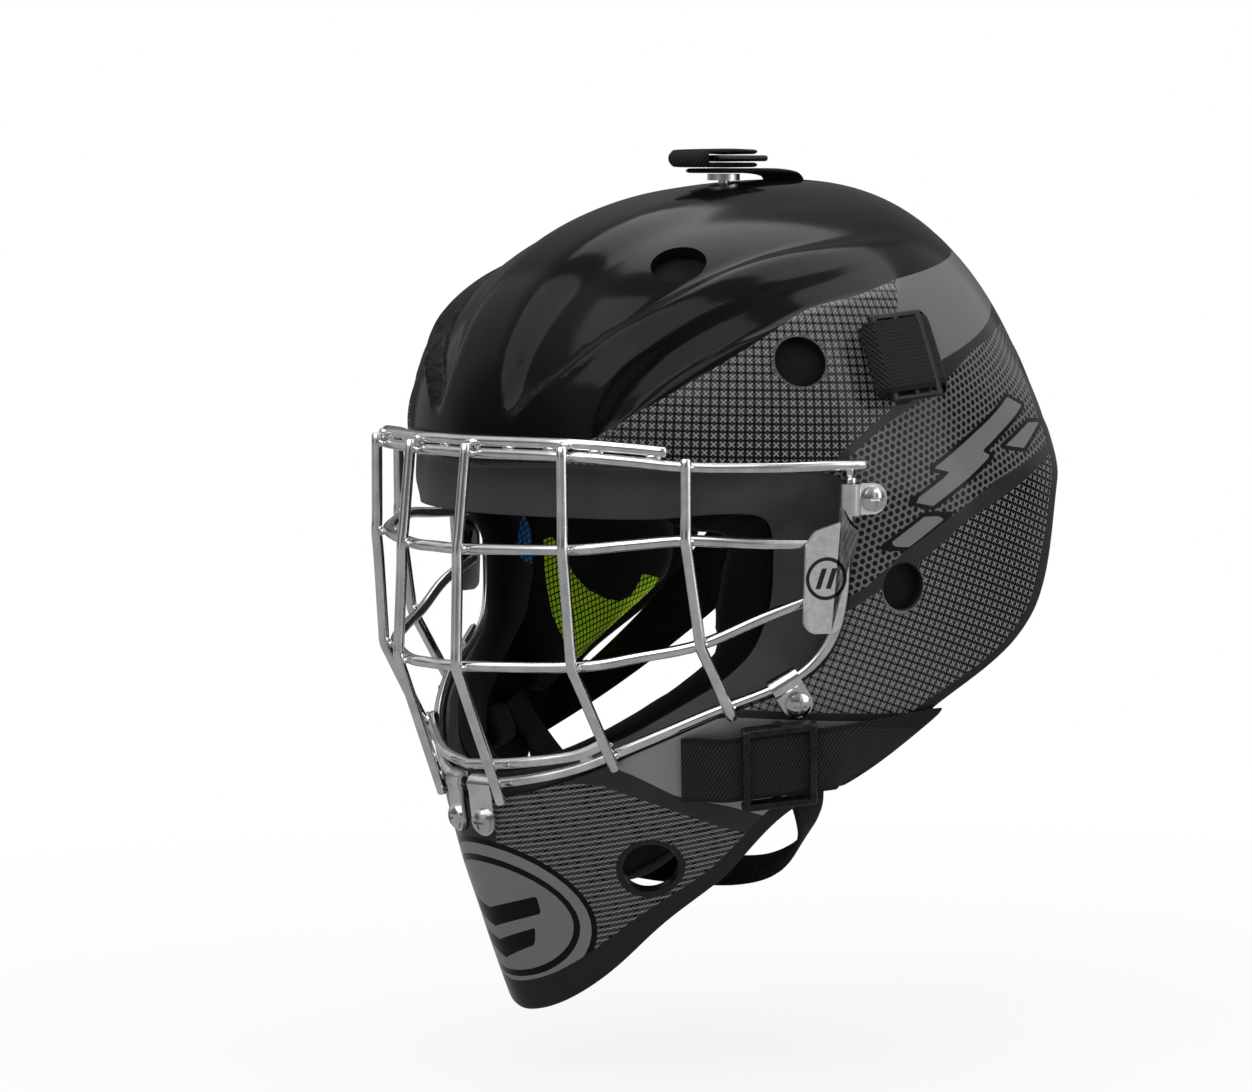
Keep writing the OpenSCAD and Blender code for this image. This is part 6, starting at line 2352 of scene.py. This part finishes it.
        put_bending(strap_mesh(top_rows, self.web_t, 6, 5), "top_webbing", top_web, "top_strap", *ends)
        at = np.array([0, -25.5, self.top_z() + self.web_t / 2 + 0.3])
        glide = set_in(self.flat_glide(self.upper_l, self.top_w), at + UP * (self.web_t + self.gap), BACK, UP)
        fold = set_in(self.folded_end(start, self.upper_l / 2 - 3, self.top_w), at, BACK, UP)
        put(glide, "top_frame", frame, "top_adjuster", "top_glide")
        put(fold, "top_fold", top_web, "top_adjuster", "top_strap_end")
        LOG.info("straps: %d pieces", len(made))
        return made


@dataclass
class ChinSling:
    """Narrow strap under the jaw with its soft cup, swinging on two snaps."""

    width: float = 16.0
    thick: float = 1.6
    cup_l: float = 62.0
    cup_w: float = 40.0
    cup_t: float = 5.0
    snap: tuple[float, float] = (70.0, -38.5)
    snap_h: float = 2.4
    line: tuple[tuple[Point, Point], ...] = (
        ((81.6, -50, -105), (-0.3, -0.95, 0)),
        ((79.4, -45.5, -116), (0.25, -0.96, -0.1)),
        ((77.5, -46, -125), (0.5, -0.78, -0.3)),
        ((69, -48, -134), (0.3, -0.75, -0.6)),
        ((54, -52, -139.5), (0.1, -0.8, -0.6)),
        ((28, -55.5, -142), (0, -0.8, -0.6)),
        ((0, -57, -143), (0, -0.8, -0.6)),
    )

    def rows(self) -> Array:
        """Rows of the strap, from the left snap to the right one."""
        n0 = FORM.out(FORM.face(*self.snap))
        p0 = FORM.stand(*self.snap, -FORM.wall - 0.3) - n0 * (self.snap_h + 0.5 + self.thick / 2)
        d = np.array(self.line[0][0]) - p0
        g = unit(d - n0 * (d @ n0))
        a = np.cross(g, n0)
        half = [(p0 - g * 6.5, a), (p0, a), (p0 + g * 6.5, a)]
        half += [(np.array(p, float), np.array(w, float)) for p, w in self.line]
        whole = half + [(flipped(p), flipped(w)) for p, w in reversed(half[:-1])]
        ts = np.linspace(-0.5, 0.5, 3) * self.width
        return np.array([[p + unit(w) * t for t in ts] for p, w in whole])

    def cup(self) -> Mesh:
        """Shallow padded bowl in the bottom of the strap."""
        u, v = np.meshgrid(np.linspace(-1, 1, 40), np.linspace(-1, 1, 28), indexing="ij")
        x = self.cup_l / 2 * u * np.sqrt(1 - 0.3 * v * v)
        y = self.cup_w / 2 * v * np.sqrt(1 - 0.3 * u * u)
        z = 12 * (x / (self.cup_l / 2)) ** 2 + 7 * (y / (self.cup_w / 2)) ** 2
        swell = np.sqrt(np.maximum(0, (1 - np.abs(u) ** 6) * (1 - np.abs(v) ** 6)))
        low = np.stack([x, y, z + self.cup_t * (0.5 - 0.5 * swell) * 0.4], -1)
        high = np.stack([x, y, z + self.cup_t * (0.5 + 0.5 * swell)], -1)
        w = math.radians(36.9)
        turn = np.array([[1, 0, 0], [0, math.cos(w), -math.sin(w)], [0, math.sin(w), math.cos(w)]])
        shift = np.array([0, -57.8, -141.8])
        return slab_mesh(high @ turn.T + shift, low @ turn.T + shift, 0.6)

    def build(self) -> list[bpy.types.Object]:
        """Makes the strap and the cup."""
        half = self.width / 2
        web = Webbing("chin_webbing", pitch=1.3, slant=0.8, half_width=half, tone_high=40).material()
        strap = strap_mesh(self.rows(), self.thick, 8, 6).to_object("chin_strap_web", [web], 60)
        hang(strap, "chin_sling", "chin_strap")
        cup = self.cup().to_object("chin_cup_soft", [LinerCloth("chin_cup_knit", 16, 30).material()], 60)
        hang(cup, "chin_sling", "chin_cup")
        LOG.info("chin sling: strap and cup")
        return [strap, cup]


@dataclass
class Hardware:
    """Clips, screws, nuts, the crown stud and the snaps, kept as the model has them."""

    chrome_nodes: tuple[str, ...] = ("temple_clips", "jaw_clips", "chin_clips")
    screw_nodes: tuple[str, ...] = ("clip_screws",)
    steel_nodes: tuple[str, ...] = ("clip_nuts", "top_nut")

    def build(self, nodes: dict[str, bpy.types.Object]) -> None:
        """Gives each kept node its finish.

        Args:
            nodes: the model's objects by name.
        """
        finishes = (
            (self.chrome_nodes, PolishedWire("clip_chrome", (0.88, 0.88, 0.89), 0.12, 0.26).material()),
            (self.screw_nodes, PolishedWire("screw_chrome", (0.80, 0.80, 0.80), 0.10, 0.22).material()),
            (self.steel_nodes, PolishedWire("satin_steel", (0.50, 0.50, 0.52), 0.3, 0.45).material()),
            (("top_stud",), PolishedWire("stud_steel", (0.86, 0.86, 0.86), 0.25, 0.4).material()),
            (("chin_snaps",), PolishedWire("blackened_snap", (0.045, 0.045, 0.05), 0.35, 0.5).material()),
        )
        for names, finish in finishes:
            for name in names:
                data = nodes[name].data
                data.materials.clear()
                data.materials.append(finish)
        LOG.info("hardware: %d nodes dressed", sum(len(n) for n, _ in finishes))


# ---- studio


@dataclass
class Studio:
    """Camera, plain pale floor, soft lamps and a white surround."""

    azimuth: float = 54.0
    elevation: float = 4.33
    distance: float = 1690.0
    shift_right: float = 55.1
    shift_up: float = 28.1
    pixels_per_mm: float = 2.67
    photo_width: float = 1252.0
    sensor: float = 36.0
    floor_z: float = -215.0

    def camera(self) -> bpy.types.Object:
        """The camera at the photograph's viewing angle."""
        a, e = math.radians(self.azimuth), math.radians(self.elevation)
        right = np.array([math.cos(a), math.sin(a), 0])
        ahead = np.array([-math.sin(a) * math.cos(e), math.cos(a) * math.cos(e), -math.sin(e)])
        up = np.cross(right, ahead)
        place = -self.shift_right * right - self.shift_up * up - self.distance * ahead
        data = bpy.data.cameras.new("studio_camera")
        data.sensor_width = self.sensor
        data.lens = self.pixels_per_mm * self.distance / self.photo_width * self.sensor
        data.clip_start, data.clip_end = 0.05, 60
        made = bpy.data.objects.new("studio_camera", data)
        bpy.context.scene.collection.objects.link(made)
        made.location = Vector(place * MM)
        made.rotation_euler = Vector(ahead).to_track_quat("-Z", "Y").to_euler()
        bpy.context.scene.camera = made
        return made

    def _aim(self, lamp: bpy.types.Object, target: Vector) -> None:
        """Turns a lamp towards a point."""
        lamp.rotation_euler = (target - lamp.location).to_track_quat("-Z", "Y").to_euler()

    def lamp(
        self, name: str, bearing: float, rise: float, away: float, size: tuple[float, float], power: float
    ) -> bpy.types.Object:
        """A soft box at a bearing from the camera's side, an elevation and a distance in metres."""
        data = bpy.data.lights.new(name, "AREA")
        data.shape = "RECTANGLE"
        data.size, data.size_y = size
        data.energy = power
        made = bpy.data.objects.new(name, data)
        bpy.context.scene.collection.objects.link(made)
        a, e = math.radians(self.azimuth + bearing), math.radians(rise)
        made.location = Vector((math.sin(a) * math.cos(e), -math.cos(a) * math.cos(e), math.sin(e))) * away
        self._aim(made, Vector((0, -0.02, -0.03)))
        return made

    def floor(self) -> bpy.types.Object:
        """A wide floor, white to the camera away from the mask, and dim in reflections."""
        size, z = 6.0, self.floor_z * MM
        data = bpy.data.meshes.new("studio_floor")
        corners = [(-size, -size, z), (size, -size, z), (size, size, z), (-size, size, z)]
        data.from_pydata(corners, [], [(0, 1, 2, 3)])
        made = bpy.data.objects.new("studio_floor", data)
        bpy.context.scene.collection.objects.link(made)
        material, recipe, shader = new_material("pale_floor")
        shader.inputs["Base Color"].default_value = (0.9, 0.9, 0.9, 1)
        shader.inputs["Roughness"].default_value = 0.9
        output = material.node_tree.nodes["Material Output"]
        light = recipe.node("ShaderNodeLightPath")
        white = recipe.node("ShaderNodeEmission")
        white.inputs["Strength"].default_value = 1.0
        seen = recipe.node("ShaderNodeMixShader")
        x, y, _ = recipe.split(recipe.object_mm())
        away = (x * x + y * y).math("SQRT").ramp(120.0, 620.0)
        share = recipe.term(light.outputs["Is Camera Ray"]) * (away * 0.14 + 0.86)
        recipe.link(share.source, seen.inputs["Fac"])
        recipe.link(shader.outputs["BSDF"], seen.inputs[1])
        recipe.link(white.outputs["Emission"], seen.inputs[2])
        dim = recipe.node("ShaderNodeEmission")
        dim.inputs["Strength"].default_value = 0.34
        mirrored = recipe.node("ShaderNodeMixShader")
        recipe.link(light.outputs["Is Glossy Ray"], mirrored.inputs["Fac"])
        recipe.link(seen.outputs[0], mirrored.inputs[1])
        recipe.link(dim.outputs["Emission"], mirrored.inputs[2])
        recipe.link(mirrored.outputs[0], output.inputs["Surface"])
        data.materials.append(material)
        return made

    def surround(self) -> None:
        """White to the camera, a dim sky with a bright panel in reflections, and a soft lamp otherwise."""
        world = bpy.data.worlds.new("studio_world")
        bpy.context.scene.world = world
        world.use_nodes = True
        recipe = Recipe(world.node_tree)
        back = world.node_tree.nodes["Background"]
        back.inputs["Color"].default_value = (1, 1, 1, 1)
        light = recipe.node("ShaderNodeLightPath")
        seen = recipe.term(light.outputs["Is Camera Ray"])
        clear = recipe.term(light.outputs["Is Transmission Ray"])
        gloss = recipe.term(light.outputs["Is Glossy Ray"])
        place = recipe.node("ShaderNodeTexCoord")
        x, y, z = recipe.split(place.outputs["Generated"])
        turned = abs(x * math.cos(math.radians(self.azimuth)) + y * math.sin(math.radians(self.azimuth)))
        panel = turned.ramp(0.42, 0.5) * (turned.ramp(0.86, 0.94) * -1 + 1)
        sky = z.ramp(-0.05, 0.85) * 0.34 + 0.05 + panel * 0.3
        level = seen.most(clear) + (seen.most(clear) * -1 + 1) * (gloss * sky + (gloss * -1 + 1) * 0.24)
        recipe.link(level.source, back.inputs["Strength"])

    def build(self) -> None:
        """Sets up the whole studio."""
        scene = bpy.context.scene
        scene.view_settings.view_transform = "Standard"
        self.camera()
        self.surround()
        self.floor()
        self.lamp("key_box", -38, 50, 2.2, (2.4, 2.0), 27)
        self.lamp("fill_box", 66, 20, 2.0, (1.2, 1.8), 11)
        self.lamp("top_box", 150, 72, 1.7, (1.8, 1.0), 12)
        LOG.info("studio: camera, floor, world and 3 lamps")


def main() -> None:
    """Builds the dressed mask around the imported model."""
    logging.basicConfig(level=logging.INFO, format="%(name)s: %(message)s")
    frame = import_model()
    Studio().build()
    Shell().build()
    Cage().build()
    Hardware().build(frame["nodes"])
    Liner().build()
    OpeningRoll().build()
    RearPanel().build()
    Straps().build()
    ChinSling().build()


if __name__ == "__main__":
    main()
